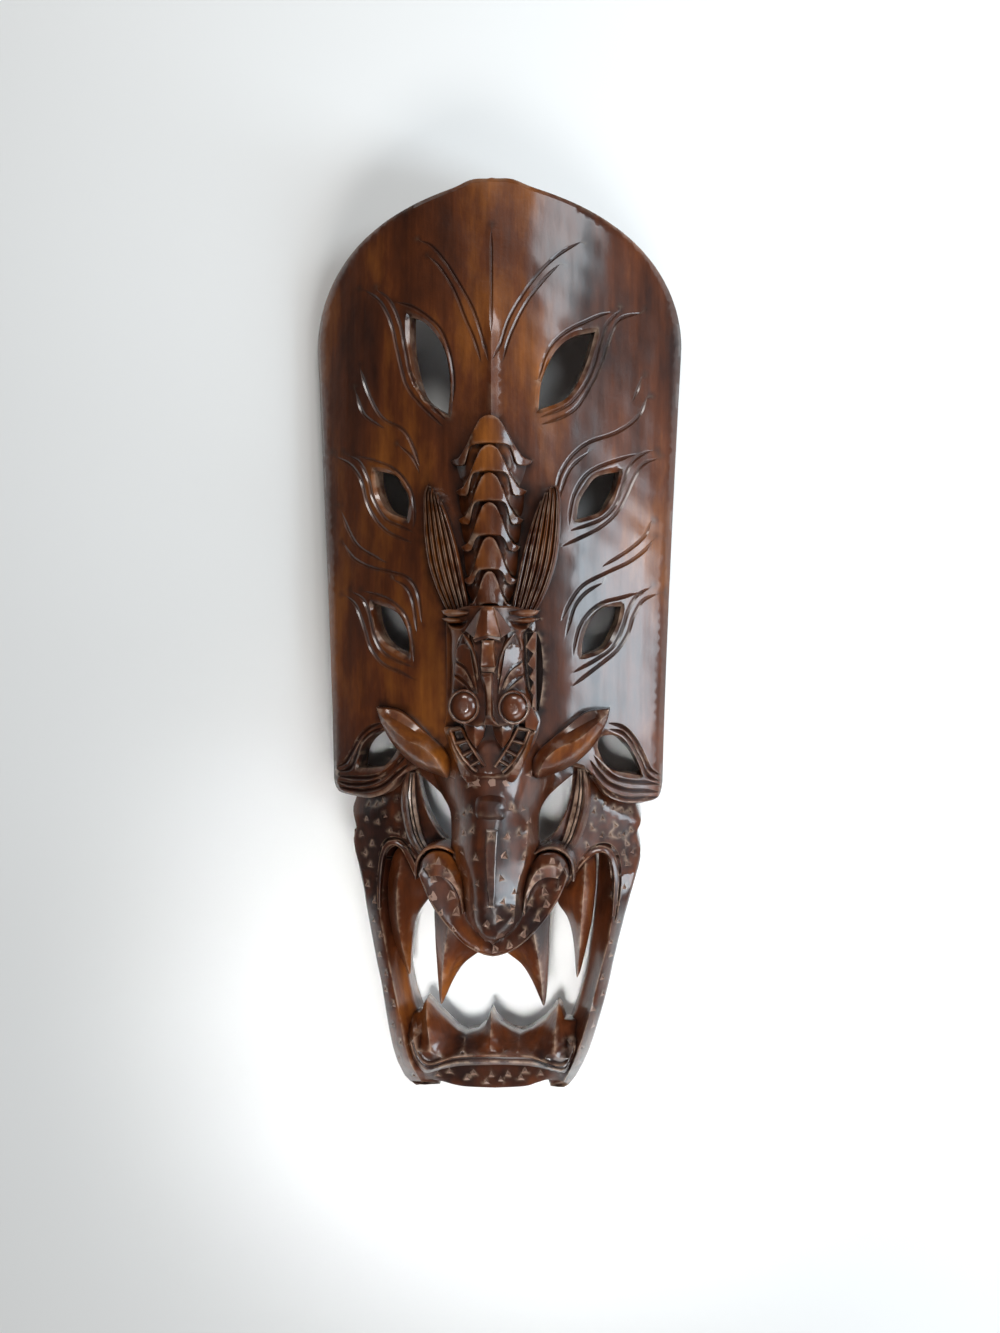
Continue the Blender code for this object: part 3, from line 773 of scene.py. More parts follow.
# Upper lip and nostrils
LIP_EDGE = (
    (71, -217, 124), (66, -229.5, 126), (59.5, -243, 128), (49.5, -258, 129), (37.5, -272, 130),
    (23.5, -284.5, 131), (9.5, -291, 131.5), (0, -293, 131.5),
)
LIP_BEAD = ((1.2, 1.0), (2.6, -0.6), (4.2, -0.9))
LIP_CHIPS = (
    (-57, -222, 7.5), (-57, -238, 8), (-40, -238, 8), (-35, -253, 8), (-49, -253, 6),
    (-37, -268, 6), (-15, -286, 6.5), (2, -287, 6.5), (16, -283, 6), (49, -233, 7), (62, -228, 6),
    (35, -244, 6), (50, -244, 7), (42, -257, 7), (29, -272, 6.5),
)
NOSTRIL_CHIPS = {
    1: ((56, -203, 6), (43, -213, 5.6), (63, -208, 5.5)),
    -1: ((52, -205, 6.5), (62, -210, 5.5), (44, -213, 5.5)),
}


def inward(line, by, rise):
    """A line of the lip drawn in toward the snout."""
    out = []
    for x, y, z in line:
        run = math.hypot(x, y + 212)
        out.append((x - x / run * by, y - (y + 212) / run * by, z + rise))
    return out


def whole(half):
    """A line over both sides of the middle, from its right half that ends at the middle."""
    return list(half) + flip(half)[1:]


def upper_lip():
    """The lip that runs round the snout, dished toward it, with a thin bead along its edge."""
    edge = curve(LIP_EDGE, 2.5)
    top = [(66, -206, 118), (50, -200, 110), (30, -200, 104)]
    border = whole(edge)
    border += [(-x, y, z) for x, y, z in top] + list(reversed(top))
    foot = [(33.5, -212, 115), (31, -232, 116.5), (30.5, -241, 117.5), (29.5, -252, 119),
            (27.5, -260, 120.5), (21, -269, 122.5), (11.5, -277.5, 125), (0, -282, 126.5)]
    lines = [whole(inward(LIP_EDGE, by, rise)) for by, rise in LIP_BEAD] + [whole(foot)]
    return carved("upper_lip", border, lines, 84.0, chips=loose_chips(LIP_CHIPS), spacing=4.5,
                  round_by=0.5, fall=0.8, waves=0.7)


def nostril(side):
    """A hood that curls over the lip's end and runs down beside the snout."""
    border = [(29, -260, 120), (30.5, -251.5, 121), (32.5, -240, 121.5), (36, -231.5, 122),
              (41, -224, 122.5), (48.5, -219, 122.5), (55.5, -218, 122), (62.5, -220, 121),
              (67, -222.5, 119), (70.5, -222.5, 115), (71, -213, 114), (68, -204, 114),
              (62, -198, 114), (53.5, -196, 114.5), (45.5, -197.5, 114.5), (41, -201, 114.5),
              (36, -208, 115), (31, -218, 116), (27, -231, 116.5), (26, -245, 117), (26, -260, 117)]
    crest = [(65, -211, 124), (55.5, -206.5, 127.5), (46, -208.5, 127.5), (39, -215.5, 127),
             (34.3, -226, 126), (30.6, -238, 125), (28.6, -251, 123)]
    edge = [(30.2, -248, 123.6), (31.2, -240.3, 124.4), (34.8, -232, 125.3), (40.0, -225, 126),
            (47.9, -220.2, 126.2), (55.4, -219.4, 126), (61.8, -221, 124.5)]
    rise = [(44, -201.5, 119.5), (54, -200, 120), (63, -202.5, 119.5)]
    edge = [(x + 0.1, y + 1.5, z) for x, y, z in edge]
    lines = [sided(line, side) for line in (crest, edge, rise)]
    return carved("nostril", sided(smooth_loop(border, 2.5), side), lines, 74.0, spacing=4,
                  round_by=0.6, fall=0.6, waves=0.4,
                  chips=upright_chips(sided(NOSTRIL_CHIPS[side], side)))


def nostril_line(side):
    """The fine ridge that runs round the hood."""
    path = [(38, -198, 113, 1.2), (46, -193.5, 114, 1.6), (54.5, -191.8, 114, 1.7),
            (64, -194.3, 113, 1.7), (71.5, -201.5, 112, 1.7), (75, -212, 111, 1.6),
            (75, -224, 110, 1.2)]
    profile = ((-1.2, -6), (-0.8, 0), (0, 1.2), (0.8, 0), (1.2, -6))
    return ribbon("nostril_line", path_on(path, side), profile, 60.0, 2.5)


# Fangs and lower teeth
FANG_RIGHT = (
    ((85, -204, 46), (95, -203, 44), (98, -216, 47), (97.5, -243, 54), (94, -273, 56),
     (88, -302, 58), (82.2, -324, 60), (80.4, -327, 61), (79, -322, 60), (76.5, -293, 57),
     (71, -270, 56), (61, -253, 58), (64, -240, 58), (72, -224, 52)),
    ((88, -212, 54), (87, -236, 73), (85, -262, 77), (82.8, -296, 70), (80.8, -323, 62.5)),
    ((93, -222, 56), (93, -245, 68), (90, -274, 67), (85.5, -302, 65)),
    ((71, -240, 66), (77, -262, 68), (79.5, -292, 65)),
)
FANG_LEFT = (
    ((-72, -224, 52), (-64, -240, 58), (-63, -247, 58), (-70, -257, 56), (-77, -268, 56),
     (-80.5, -283, 57), (-82.5, -303, 59), (-83.5, -326, 60), (-85.5, -327, 60), (-90, -318, 59),
     (-98, -300, 57), (-105, -273, 54), (-107.5, -243, 52), (-104, -216, 46), (-97, -203, 44),
     (-85, -204, 46)),
    ((-94, -212, 52), (-95, -236, 72), (-95, -262, 76), (-92, -290, 71), (-87, -315, 64),
     (-84.5, -325, 61)),
    ((-101, -222, 54), (-101, -250, 64), (-99, -275, 65), (-93, -300, 63)),
    ((-80, -232, 62), (-82, -252, 66), (-85, -280, 65)),
)


def side_fang(parts):
    border = smooth_loop(parts[0], 3)

    def root(x, y):
        return (x, y, between(y, ((-327, 52), (-240, 32))))

    return carved("side_fang", border, parts[1:], root, round_by=0.8, fall=1.2, spacing=4,
                  waves=0.7)


def centre_fang(side):
    border = [(14, -262, 104), (36, -252, 108), (54, -250, 100), (55, -280, 99), (53.5, -312, 96),
              (51.5, -340, 95), (49.3, -347.5, 96), (46.3, -342, 95), (38, -324, 93),
              (28, -308.5, 92), (14, -297, 93), (4, -288, 96)]
    ridge = [(38, -258, 118), (43, -285, 116), (47, -315, 108), (49.2, -344, 97.5)]
    slope = [(28, -268, 113), (34, -295, 109), (42, -319, 103)]
    border = sided(smooth_loop(border, 3), side)
    lines = [sided(line, side) for line in (ridge, slope)]

    def root(x, y):
        return (x, y, between(y, ((-347, 86), (-280, 70))))

    return carved("centre_fang", border, lines, root, round_by=0.8, fall=1.5, spacing=4)


TEETH = (
    (-84, -368, 46), (-73.2, -363.3, 56), (-70, -354, 62), (-67.2, -350.2, 64), (-62, -355, 62),
    (-57.4, -361, 60), (-47, -371, 59), (-36.6, -380.5, 60), (-28.7, -383.3, 62),
    (-16.9, -380.1, 60), (-10, -375, 60), (-6.5, -366, 62), (-3.6, -360, 64), (-0.2, -367.9, 62),
    (7.7, -374.7, 60), (16, -380, 60), (24.4, -382.3, 62), (36.2, -378.1, 60), (48.9, -369, 59),
    (57, -358, 61), (61.6, -351.9, 64), (65, -356, 62), (68.5, -368.6, 56), (84, -372, 46),
)
LIP_TOP = (
    (-77.5, -384, 88), (-73.5, -397.2, 90), (-67.6, -405, 91), (-59.8, -407.2, 91),
    (-47.1, -402.6, 92), (-32.4, -398.4, 93), (-3.2, -396.8, 94), (16, -396.9, 94),
    (35.6, -397.4, 93), (50.2, -402.6, 92), (64.7, -406.2, 91), (72.5, -402.2, 90),
    (77.5, -388, 88),
)
LIP_LOW = (
    (-83, -392, 78), (-78, -406, 80), (-68, -418, 81), (-57, -416.5, 82), (-47.6, -413.5, 83),
    (-32.9, -410, 85), (-13, -408.5, 86), (10, -407.7, 86), (35.4, -408.8, 85), (49.9, -412, 83),
    (60, -414.5, 82), (67, -416.3, 81), (72, -413, 80), (78, -400, 79), (80, -392, 78),
)
CHIN_CHIPS = (
    (-44, -419), (-27, -426), (-20, -420), (-8, -430), (-3, -422), (6, -427), (13, -421),
    (26, -425), (30, -417), (45, -420), (-56, -423),
)


def part_way(line, other, share, rise):
    """A line between two others, each read along its length."""
    a, b = curve(line, 1.0), curve(other, 1.0)
    out = []
    for t in np.linspace(0, 1, 44):
        p, q = a[round(t * (len(a) - 1))], b[round(t * (len(b) - 1))]
        x, y, z = (u + (v - u) * share for u, v in zip(p, q))
        out.append((x, y, z + rise))
    return out


def chin():
    """Three lower teeth, the lip under them and the scalloped chin."""
    right = [(82, -386, 58), (82, -402, 52), (79, -418, 44)]
    left = [(-90, -386, 58), (-94, -402, 52), (-93, -418, 44)]
    right_foot = curve([(75, -430, 50), (69.5, -435.5, 52), (65, -432, 56), (59, -428.5, 61),
                        (51, -428.2, 63), (40, -431.6, 63), (29, -435, 63), (0, -437.2, 63)], 3)
    left_foot = curve([(-86, -434.5, 50), (-79, -439, 52), (-73, -436, 55), (-67.5, -431.5, 60),
                       (-62, -430.3, 62), (-53, -431.6, 63), (-32, -436.2, 63), (0, -437.2, 63)], 3)
    border = list(TEETH[::-1]) + left + left_foot + right_foot[::-1][1:] + right[::-1]
    low = [(x, y - 1.4, z - 9) for x, y, z in LIP_LOW]
    foot = [(x, y + 1.8, z - 5) for x, y, z in LIP_TOP[1:-1]]
    teeth = [
        [(-67, -352.5, 67), (-65.5, -367, 80), (-62, -386, 89), (-60.5, -401, 87)],
        [(-3.5, -362.5, 67), (-3, -377, 81), (-3, -392, 88)],
        [(61.5, -354.5, 67), (60.5, -369, 80), (59.5, -386, 89), (60.5, -401, 87)],
    ]
    hollows = [
        [(-50, -371, 64), (-46, -388, 74)],
        [(-72, -368, 64), (-72, -390, 76)],
        [(-14, -381, 66), (-17, -388, 74)],
        [(9, -380, 66), (12, -387, 74)],
        [(45, -374, 65), (43, -388, 74)],
        [(69, -373, 62), (71, -390, 76)],
    ]
    gums = [
        [(-29, -385.5, 70), (-36, -393, 79), (-45, -398, 84)],
        [(-29, -385.5, 70), (-22, -391.5, 80), (-15, -394.4, 85)],
        [(-29, -387, 74), (-29.5, -394, 88)],
        [(24.4, -384.5, 70), (31, -392, 79), (38, -395, 84)],
        [(24.4, -384.5, 70), (17.5, -391, 80), (11, -394.4, 85)],
        [(24.4, -386.5, 74), (24, -394, 88)],
    ]
    folds = [part_way(LIP_TOP, LIP_LOW, share, rise)
             for share, rise in ((0.14, 0.6), (0.36, -1.8), (0.62, 1.6))]
    lines = [LIP_TOP, LIP_LOW, low, foot] + folds + teeth + hollows + gums

    def root(x, y):
        return (x, y, 0.0 if y < -396 else 36.0)

    chips = upright_chips((x, y, 6) for x, y in CHIN_CHIPS)
    return carved("chin", border, lines, root, chips=chips, spacing=4.5, waves=0.5)


# The jaw ring down each side: (y, outer edge, ridge, inner edge)
RING = {
    1: ((-188, 138, 112, 100), (-200, 141, 113.5, 100), (-213, 141.5, 114.5, 100),
        (-222, 139.5, 115, 99.5), (-239, 134.5, 115, 99), (-264, 127.5, 114.5, 96.5),
        (-290, 121, 110.5, 93), (-314, 115.5, 104.5, 89.5), (-335, 111, 99.3, 85.5),
        (-352, 107, 95.2, 81), (-367, 102.8, 91, 76), (-385, 97.5, 85, 69), (-400, 92.5, 79.5, 60),
        (-415, 86, 73.5, 54), (-428, 79, 68, 52), (-437, 72, 64, 54)),
    -1: ((-188, 144, 111, 98), (-200, 145, 112.5, 98), (-213, 142.5, 113.5, 97.5),
         (-222, 139.6, 114.5, 97), (-247, 133, 115, 97), (-267, 129.3, 114, 95.5),
         (-290, 125, 109.5, 93), (-315, 120.2, 105, 90), (-338, 115.3, 100.5, 86.5),
         (-352, 112.8, 97.2, 83.5), (-365, 110.8, 94, 79), (-385, 107.2, 88.3, 71),
         (-400, 104, 84, 63), (-415, 99.5, 79, 57), (-430, 92.5, 74, 54), (-440, 83, 70, 56)),
}
RING_BAND = ((0.0, -0.8), (0.12, 0.8), (0.5, 1.6), (0.88, 1.2), (1.0, 0.4))
RING_WALL = ((0.0, 0.4), (0.14, -1.2), (0.5, -3.0), (0.8, -2.0), (1.0, -1.0))


def ring_edges(side, y):
    """Outer edge, ridge and inner edge of the jaw ring at a height up the mask."""
    return [between(y, [(row[0], row[k]) for row in reversed(RING[side])]) for k in (1, 2, 3)]


def ring_height(x, y):
    outer, ridge, inner = ring_edges(1 if x > 0 else -1, y)
    outer_z = between(y, ((-440, 46), (-415, 48), (-300, 44), (-230, 40), (-205, 34), (-190, 30)))
    ridge_z = between(y, ((-440, 55), (-430, 63), (-418, 76), (-408, 83), (-395, 82), (-350, 61)))
    wall = between(y, ((-430, 2), (-412, 6), (-402, 14), (-385, 32), (-350, 20)))
    to_cheek = between(y, ((-264, 0), (-226, 1)))
    if to_cheek > 0:
        ridge_z += (face_height(ridge, y) - 0.5 - ridge_z) * to_cheek
    if abs(x) > ridge:
        share = min(max((outer - abs(x)) / (outer - ridge), 0.0), 1.0)
        z = outer_z + (ridge_z - outer_z) * share**0.8 + between(share, RING_BAND)
        return z + (face_height(x, y) - 0.5 - z) * to_cheek
    share = min((ridge - abs(x)) / (ridge - inner), 1.0)
    return ridge_z - wall * share + between(share, RING_WALL)


def ring_line(side, column, share, low=-437, high=-188):
    """A line down one side of the jaw ring, at a share of the way across its band or its wall."""
    line = []
    for y in np.linspace(high, low, 84):
        edges = ring_edges(side, y)
        line.append((side * (edges[column] + (edges[column + 1] - edges[column]) * share),
                     float(y)))
    return line


def ring_side(side):
    outer = ring_line(side, 0, 0.0)
    inner = ring_line(side, 1, 1.0)
    creases = [ring_line(side, 0, share, -430, -194) for share, _ in RING_BAND[1:]]
    creases += [ring_line(side, 1, share, -430, -194) for share, _ in RING_WALL[1:-1]]
    chips = []
    for n, y in enumerate(np.arange(-240, -430, -17.0)):
        edge, ridge, _ = ring_edges(side, y)
        across = 0.40 + 0.3 * (n % 2) + chance.uniform(-0.08, 0.08)
        chips.append((side * (edge + (ridge - edge) * across), float(y) + chance.uniform(-3, 3),
                      5.0))
    cut = [gouge([p for p in ARCH_GROOVE[side] if p[1] < -206], 3.0, 2.6, 5)]
    return board("ring", outer + list(reversed(inner)), ring_height, flat_at(0.0), creases=creases,
                 gouges=cut, chips=upright_chips(chips), spacing=5.0, round_by=1.2, fall=1.6,
                 waves=0.7)


# The rim that turns over each corner of the mouth, and the groove along its outer side
ARCH = {
    1: ((68.5, -236, 60, 3.6), (76.5, -222.5, 59, 4.4), (85.5, -211, 58, 4.8),
        (95, -203.5, 56.5, 4.6), (103, -201.5, 55.5, 4.4), (110, -204, 55, 4.2),
        (115, -212.5, 55.5, 3.8), (117.6, -228, 57, 3.4), (117.2, -246, 58.5, 2.8),
        (115.2, -266, 60, 2.0)),
    -1: ((-77.5, -228, 60, 3.2), (-84, -214, 59, 3.6), (-90, -203, 58, 3.6), (-95, -198.5, 57, 3.4),
         (-101, -197, 56.5, 3.2), (-107, -199.6, 56, 3.0), (-111, -207, 55.5, 2.8),
         (-113.8, -221, 56, 2.6), (-114.9, -243, 58, 2.4), (-114.5, -262, 60, 1.8)),
}
ARCH_GROOVE = {
    1: ((72, -225.6), (80.8, -212.3), (91, -200.6), (102.7, -196.4), (112.4, -199), (119, -209.4),
        (121.6, -228), (121, -242.7), (118.8, -257.4), (116.5, -272)),
    -1: ((-75.1, -225), (-86, -203), (-92.8, -194.6), (-99.5, -192.4), (-107.8, -194.6),
         (-112.8, -201.5), (-116, -213.6), (-117.5, -232)),
}


def mouth_arch(side):
    """The rim over the corner of the mouth: a bead, and a slope into the mouth."""
    path = ARCH[side] if side > 0 else ARCH[side][::-1]
    profile = ((-1.1, -14), (-1.0, -8), (-0.78, -0.6), (-0.62, 1.8), (-0.4, 2.4), (-0.1, 1.4),
               (0.4, 0.6), (0.85, 0.2), (1.0, -5))
    return ribbon("mouth_arch", path, profile, 8.0, 2.5)


# Ears of the big head

def ear(side):
    border = [(112, -61, 95), (92, -63, 97), (80, -70, 99), (69, -79, 101), (55, -91, 104),
              (45, -100, 107), (39, -112, 109), (41, -127, 104), (54, -125, 98), (70, -119, 95),
              (84, -110, 92), (98.5, -94.5, 90), (109, -74, 91)]
    ridge = [(110, -65, 97), (97, -77, 109), (82.5, -88.5, 117), (65, -96, 122), (53, -106, 123),
             (45, -120, 118)]
    valley = [(99, -69, 98), (82, -78, 101), (66, -87, 105), (53, -97, 109)]
    belly = [(106, -75, 101), (92, -94, 107), (74, -107, 111), (57, -116, 113)]
    border = sided(smooth_loop(border, 3), side)
    lines = [sided(line, side) for line in (ridge, valley, belly)]
    return carved("ear", border, lines, 60.0, round_by=1.0, fall=2.0, spacing=4, waves=0.6)


# The small dragon: spine plates
PLATE_APEX = (215.0, 187.5, 161.5, 134.0, 102.0, 70.0, 38.0)
PLATE_WING = (38.5, 33.5, 30.5, 27.5, 25.0, 20.0)
PLATE_BELL = (
    (0.0, 0.0), (0.12, 0.02), (0.24, 0.10), (0.42, 0.36), (0.58, 0.66), (0.78, 0.93), (1.0, 1.0),
)
PLATE_SWEEP = (41.0, 42.0, 43.0, 41.0, 40.0, 32.0)


def spine_z(x):
    return SPINE_Z - 0.0215 * x * x


def bell(number, x):
    """The crest line of a spine plate: how far up it stands at a place across."""
    share = min(abs(x) / PLATE_WING[number], 1.0)
    return PLATE_APEX[number] - PLATE_SWEEP[number] * between(share, PLATE_BELL)


def plates():
    pieces = []
    for number, wing in enumerate(PLATE_WING):
        below = PLATE_APEX[number + 1]
        crest = [(x, bell(number, x)) for x in np.linspace(0, wing, 22)]
        tip = crest[-1][1]
        foot = [(wing * 0.97, tip - 2.5), (wing * 0.88, tip - 4.6), (wing * 0.76, tip - 5.0),
                (wing * 0.64, tip - 3.5), (wing * 0.52, below - 4), (wing * 0.38, below + 0.5),
                (0, below + 1.5)]
        outline = both_sides(crest + curve(foot, 2.5))

        def height(x, y, n=number, reach=wing):
            fall = 0.12 * max(bell(n, x) - y, 0.0)
            cup = 2.2 * math.exp(-(((abs(x) - 0.62 * reach) / (0.13 * reach)) ** 2))
            return spine_z(x) + 1.8 - fall - cup

        wings = [(x, y - 2.0) for x, y in crest[10:]]
        pieces.append(board("plate", outline, height, flat_at(ROOT_Z), creases=[wings, flip(wings)],
                            spacing=3.6, round_by=0.9, fall=1.2, waves=0.5))
        if number == 0:
            continue
        upper = PLATE_WING[number - 1]
        above = [(x, bell(number - 1, x) - 1.0) for x in np.linspace(0, upper * 0.94, 18)]
        inner = [(upper * 0.92, above[-1][1] - 8), (wing * 0.96, bell(number, wing) + 7)]
        inner += [(wing * share, bell(number, wing * share) + rise)
                  for share, rise in ((0.86, 1), (0.62, -1), (0.3, -3))]
        saddle = both_sides(above + curve(inner + [(0, below + 14)], 3))

        def slope(x, y, n=number, reach=upper):
            top = bell(n - 1, min(abs(x), reach)) - 1.0
            low = bell(n, x)
            rise = (top - y) / max(top - low, 2.0)
            cup = 2.5 * math.exp(-(((abs(x) - 0.74 * reach) / (0.16 * reach)) ** 2))
            return spine_z(x) - 12.0 + 8.5 * (1 - min(max(rise, 0.0), 1.0)) ** 0.7 - cup

        pieces.append(board("saddle", saddle, slope, flat_at(ROOT_Z - 4), spacing=3.6, round_by=0.8,
                            fall=0.6, waves=0.4))
    return pieces


# Pleated fans at the small dragon's neck
FAN_OUTER = (
    (62, 151), (64.5, 143), (65, 128), (64.5, 105), (61.5, 80), (55, 58), (47, 40), (42, 31),
)
FAN_INNER = ((47, 136), (42, 124), (36, 107), (31, 90), (27, 72), (23.5, 54), (21, 41), (20, 31))
FAN_RIBS = 6
FAN_PLEAT = (
    (0.0, -2.9), (0.12, -0.8), (0.26, 1.7), (0.36, 2.0), (0.48, 1.1), (0.60, 1.9), (0.72, 1.6),
    (0.88, -1.0), (1.0, -2.9),
)


def fan(side):
    """A pleated fan: sharp ribs with a fine line down each and deep folds between them."""
    outer = curve(FAN_OUTER, 0.5)
    inner = curve(FAN_INNER, 0.5)
    columns = FAN_RIBS * (len(FAN_PLEAT) - 1)

    def front(u, v):
        a = outer[round(v * (len(outer) - 1))]
        b = inner[round(v * (len(inner) - 1))]
        place = round(u * columns)
        rib, part = divmod(place, len(FAN_PLEAT) - 1)
        across, rise = FAN_PLEAT[part]
        share = (rib + across) / FAN_RIBS
        step = 2.5 * (rib % 2) * max(0.0, 1 - v * 9)
        x = a[0] + (b[0] - a[0]) * share
        y = a[1] + (b[1] - a[1]) * share + 3.4 * math.sin(math.pi * share) * (1 - v) - step
        body = 106 + 16 * share + 3 * math.sin(math.pi * share)
        return (side * x, y, body + rise * (1.15 - 0.4 * v) - 4.0 * max(0.0, 0.05 - v) / 0.05)

    return loft("fan", columns, 56, front, lambda u, v: front(u, v)[:2] + (ROOT_Z,))


# The small dragon's head
SKULL_EDGE = (
    (-40, 31), (-22, 37), (0, 37.5), (22, 37), (38, 31), (39, 22), (34, 15), (31, 10), (32, 1),
    (32, -13), (33, -27), (35, -41), (39, -50), (41, -61), (39, -70), (31.3, -69.5), (22, -72.3),
    (10.7, -75.5), (-1.4, -72.5), (-12.6, -75.8), (-24.8, -72), (-34.7, -70), (-37, -61),
    (-36.5, -41), (-35.6, -22), (-36.5, -4), (-36.5, 10), (-41, 22),
)
SLOT = (
    (33, 11), (43, 11), (47.5, -4), (48.5, -32), (46.5, -51), (43.5, -64), (39.5, -56), (36, -42),
    (34, -27), (33, -2),
)


def skull_z(x, y):
    ridge = between(y, ((-80, 144), (-45, 146), (-10, 146), (38, 139)))
    bow = 3.0 * math.exp(-(((abs(x) - 22) / 9) ** 2) - ((y + 4) / 30) ** 2)
    return ridge - 0.0125 * x * x + bow


FACET_ROOT = 118.0
SMALL_CHEEKS = (
    (-28, 36), (-40, 31), (-43, 18), (-42.5, 0), (-42.5, -62), (-44, -76), (-38, -95), (-28, -108),
    (0, -112), (28, -108), (40, -95), (46, -78), (46, -68), (40, -58), (31, -58), (31, 12),
    (40, 12), (42, 20), (38, 31), (28, 36),
)

# Cuts of the skull on its right half, in two rounds: line, width, depth, length of the thin ends
SKULL_CUTS = (
    ((((13, 20), (17, 8), (13, -2)), 3.2, 2.0, 6), (((24, 12), (28, 4), (30, -4)), 3.0, 1.8, 6)),
    ((((21, 23), (27, 20), (34, 20.5), (40, 24)), 9.0, 9.0, 7),),
)

# Facets of the head, top down: name, sides, corners, lines, width and drop of the softened edge
HEAD_FACETS = (
    ("forehead", (1,),
     ((-5, 37, 147), (5, 37, 147), (12.3, 8.5, 151), (0, 10.5, 152.5), (-13.5, 7, 151)),
     (((0, 34, 150), (0, 24, 152.5), (0, 13, 154)),), 0.7, 0.7),
    ("temple", (-1, 1),
     ((5.5, 36, 147.5), (11.5, 30, 143), (22, 14.5, 138.5), (13, 8.5, 150.5)),
     (), 0.5, 0.5),
    ("forehead_band", (1,),
     ((-14, 7.5, 149), (0, 11.5, 151), (12.8, 9, 149), (11, 5.5, 148), (0, 8, 150), (-12, 4, 148)),
     (), 0.5, 0.5),
    ("brow_plate", (1,),
     ((-5.6, 6, 151.5), (6, 6, 151.5), (7.8, -19, 151), (-6.8, -19, 151)),
     (((5.2, 3, 154), (6, -8, 154.5), (6.6, -17, 153)), ((-4.8, 3, 154), (-5.6, -17, 153))),
     0.7, 0.7),
    ("bridge_band", (1,),
     ((-7, -18.5, 149), (8, -18.5, 149), (6, -24, 149), (-6, -24, 149)),
     (), 0.7, 1.4),
    ("bridge", (1,),
     ((-5.6, -24, 153), (4.2, -24, 153), (5.6, -29, 152), (4.6, -42, 151), (4.6, -64, 150),
      (9.6, -73, 146), (-4.2, -73, 146), (-1.6, -64, 150), (-2.4, -42, 151), (-6.2, -29, 152)),
     (((-3.5, -27, 156), (0.0, -42, 155.5), (0.6, -62, 155)),
      ((3.2, -27, 156.5), (3.4, -42, 156), (3.4, -62, 155.5), (5.5, -70, 150))), 0.7, 0.7),
)

# Folds beside the bridge on its right half: name, edge, lines
FOLDS = (
    ("brow",
     ((25, 13, 141), (17, 6, 145), (11.5, -6, 147), (8.4, -24, 146), (10, -31, 146),
      (14.5, -17, 146), (19.5, -4, 143)),
     (((22, 9, 145), (15.5, -1, 149.5), (11, -14, 150.5), (9.3, -26, 148)),)),
    ("fold_high",
     ((17, 1, 146), (23, 2.5, 143), (29, -1, 139), (31, -12, 136.5), (21.5, -18.5, 142),
      (15, -30, 145), (10.5, -44, 145), (10, -36, 147), (13.5, -20, 147)),
     (((16.5, -3, 148.5), (13.8, -20, 149), (10.8, -38, 147.5)),
      ((29.5, -13.5, 139.5), (20.8, -18.8, 144.5), (14.4, -30.5, 147), (10.8, -42, 146.5)))),
    ("fold_middle",
     ((31.5, -15, 137), (22, -20.5, 142), (15.8, -31, 144.5), (11.8, -43, 144), (15.5, -40.5, 142),
      (23, -32, 139), (32.2, -26, 135)),
     (((30.5, -24, 138.5), (22, -30.5, 142.5), (15.4, -39, 144.5)),
      ((30, -17.5, 139.5), (22, -22.5, 144), (16.5, -31.5, 146)))),
    ("fold_low",
     ((32.6, -27.5, 136), (23.5, -33.5, 140), (16.5, -41.5, 142.5), (24, -41.5, 140),
      (33.5, -40, 135)),
     (((31.5, -29.5, 138.5), (24, -35.5, 142), (18, -41, 143.5)),)),
)
SMALL_FANG = (
    (2.5, -72, 137), (24, -72, 137), (20, -85.5, 135), (15.5, -92.5, 133), (12.6, -96, 132),
    (9.5, -92, 133), (5.5, -85, 135),
)
FANG_RIDGE = ((13, -73, 142), (13, -84, 139.5), (12.7, -94, 133.5))
BULB_SIDES = 40
BULB_RINGS = (
    (0.0009, 0.0009), (0.0010, 0.0), (0.0004, -0.0022), (0.0004, 0.0), (0.0008, 0.0016),
    (0.0020, 0.0014), (0.0028, 0.0010), (0.0030, 0.0004),
)
MOUTH_FLOOR = ((0, -70), (26, -72), (35, -84), (28, -104), (12, -119), (0, -123))
SMALL_LIP = (
    (36, -77, 120), (43.5, -78, 122), (41, -86, 125), (37, -98, 126), (31, -113, 126),
    (25.5, -125, 125), (16.5, -133, 124), (0, -134.5, 123),
)
SMALL_LIP_RIM = (
    (0, -117, 126), (8, -118, 126.5), (14, -117, 127), (23, -107, 128), (31, -94, 129),
    (35.5, -80, 126),
)
SMALL_LIP_CREST = (
    (38, -84, 131), (33.5, -97, 133.5), (26, -110, 134), (16, -121, 132), (0, -123, 131.5),
)
SMALL_LIP_CHIPS = ((-22, -120, 7.5), (-10.7, -128, 7.5), (3.4, -127.5, 7.5), (15.6, -129, 7.5))
MOUTH_CORNER = ((33, -58, 139), (40.5, -57, 135), (46, -72, 127), (43, -80, 126), (34, -76, 134))
SIDE_TEETH = (
    (41.5, 13, 126), (33.5, -1, 128), (41, -7, 128), (35.6, -17, 128), (41, -22.5, 128),
    (37, -29, 128), (41.3, -34, 128), (38, -42, 128), (41, -46, 128), (39, -60, 128),
    (43.5, -62, 127), (43.4, -40, 127), (43.4, 0, 127), (43.6, 13, 125),
)
JAW_OUTER = ((37.3, -79), (31.6, -95), (24, -107), (16, -115.5), (12, -118.5))
JAW_INNER = ((26.8, -77), (19.8, -90.5), (12.3, -103), (5, -113.5))
JAW_ROOT = 112.0
RAIL_PROFILE = ((-1, -3), (-0.6, -0.3), (0, 0.6), (0.6, -0.3), (1, -3))


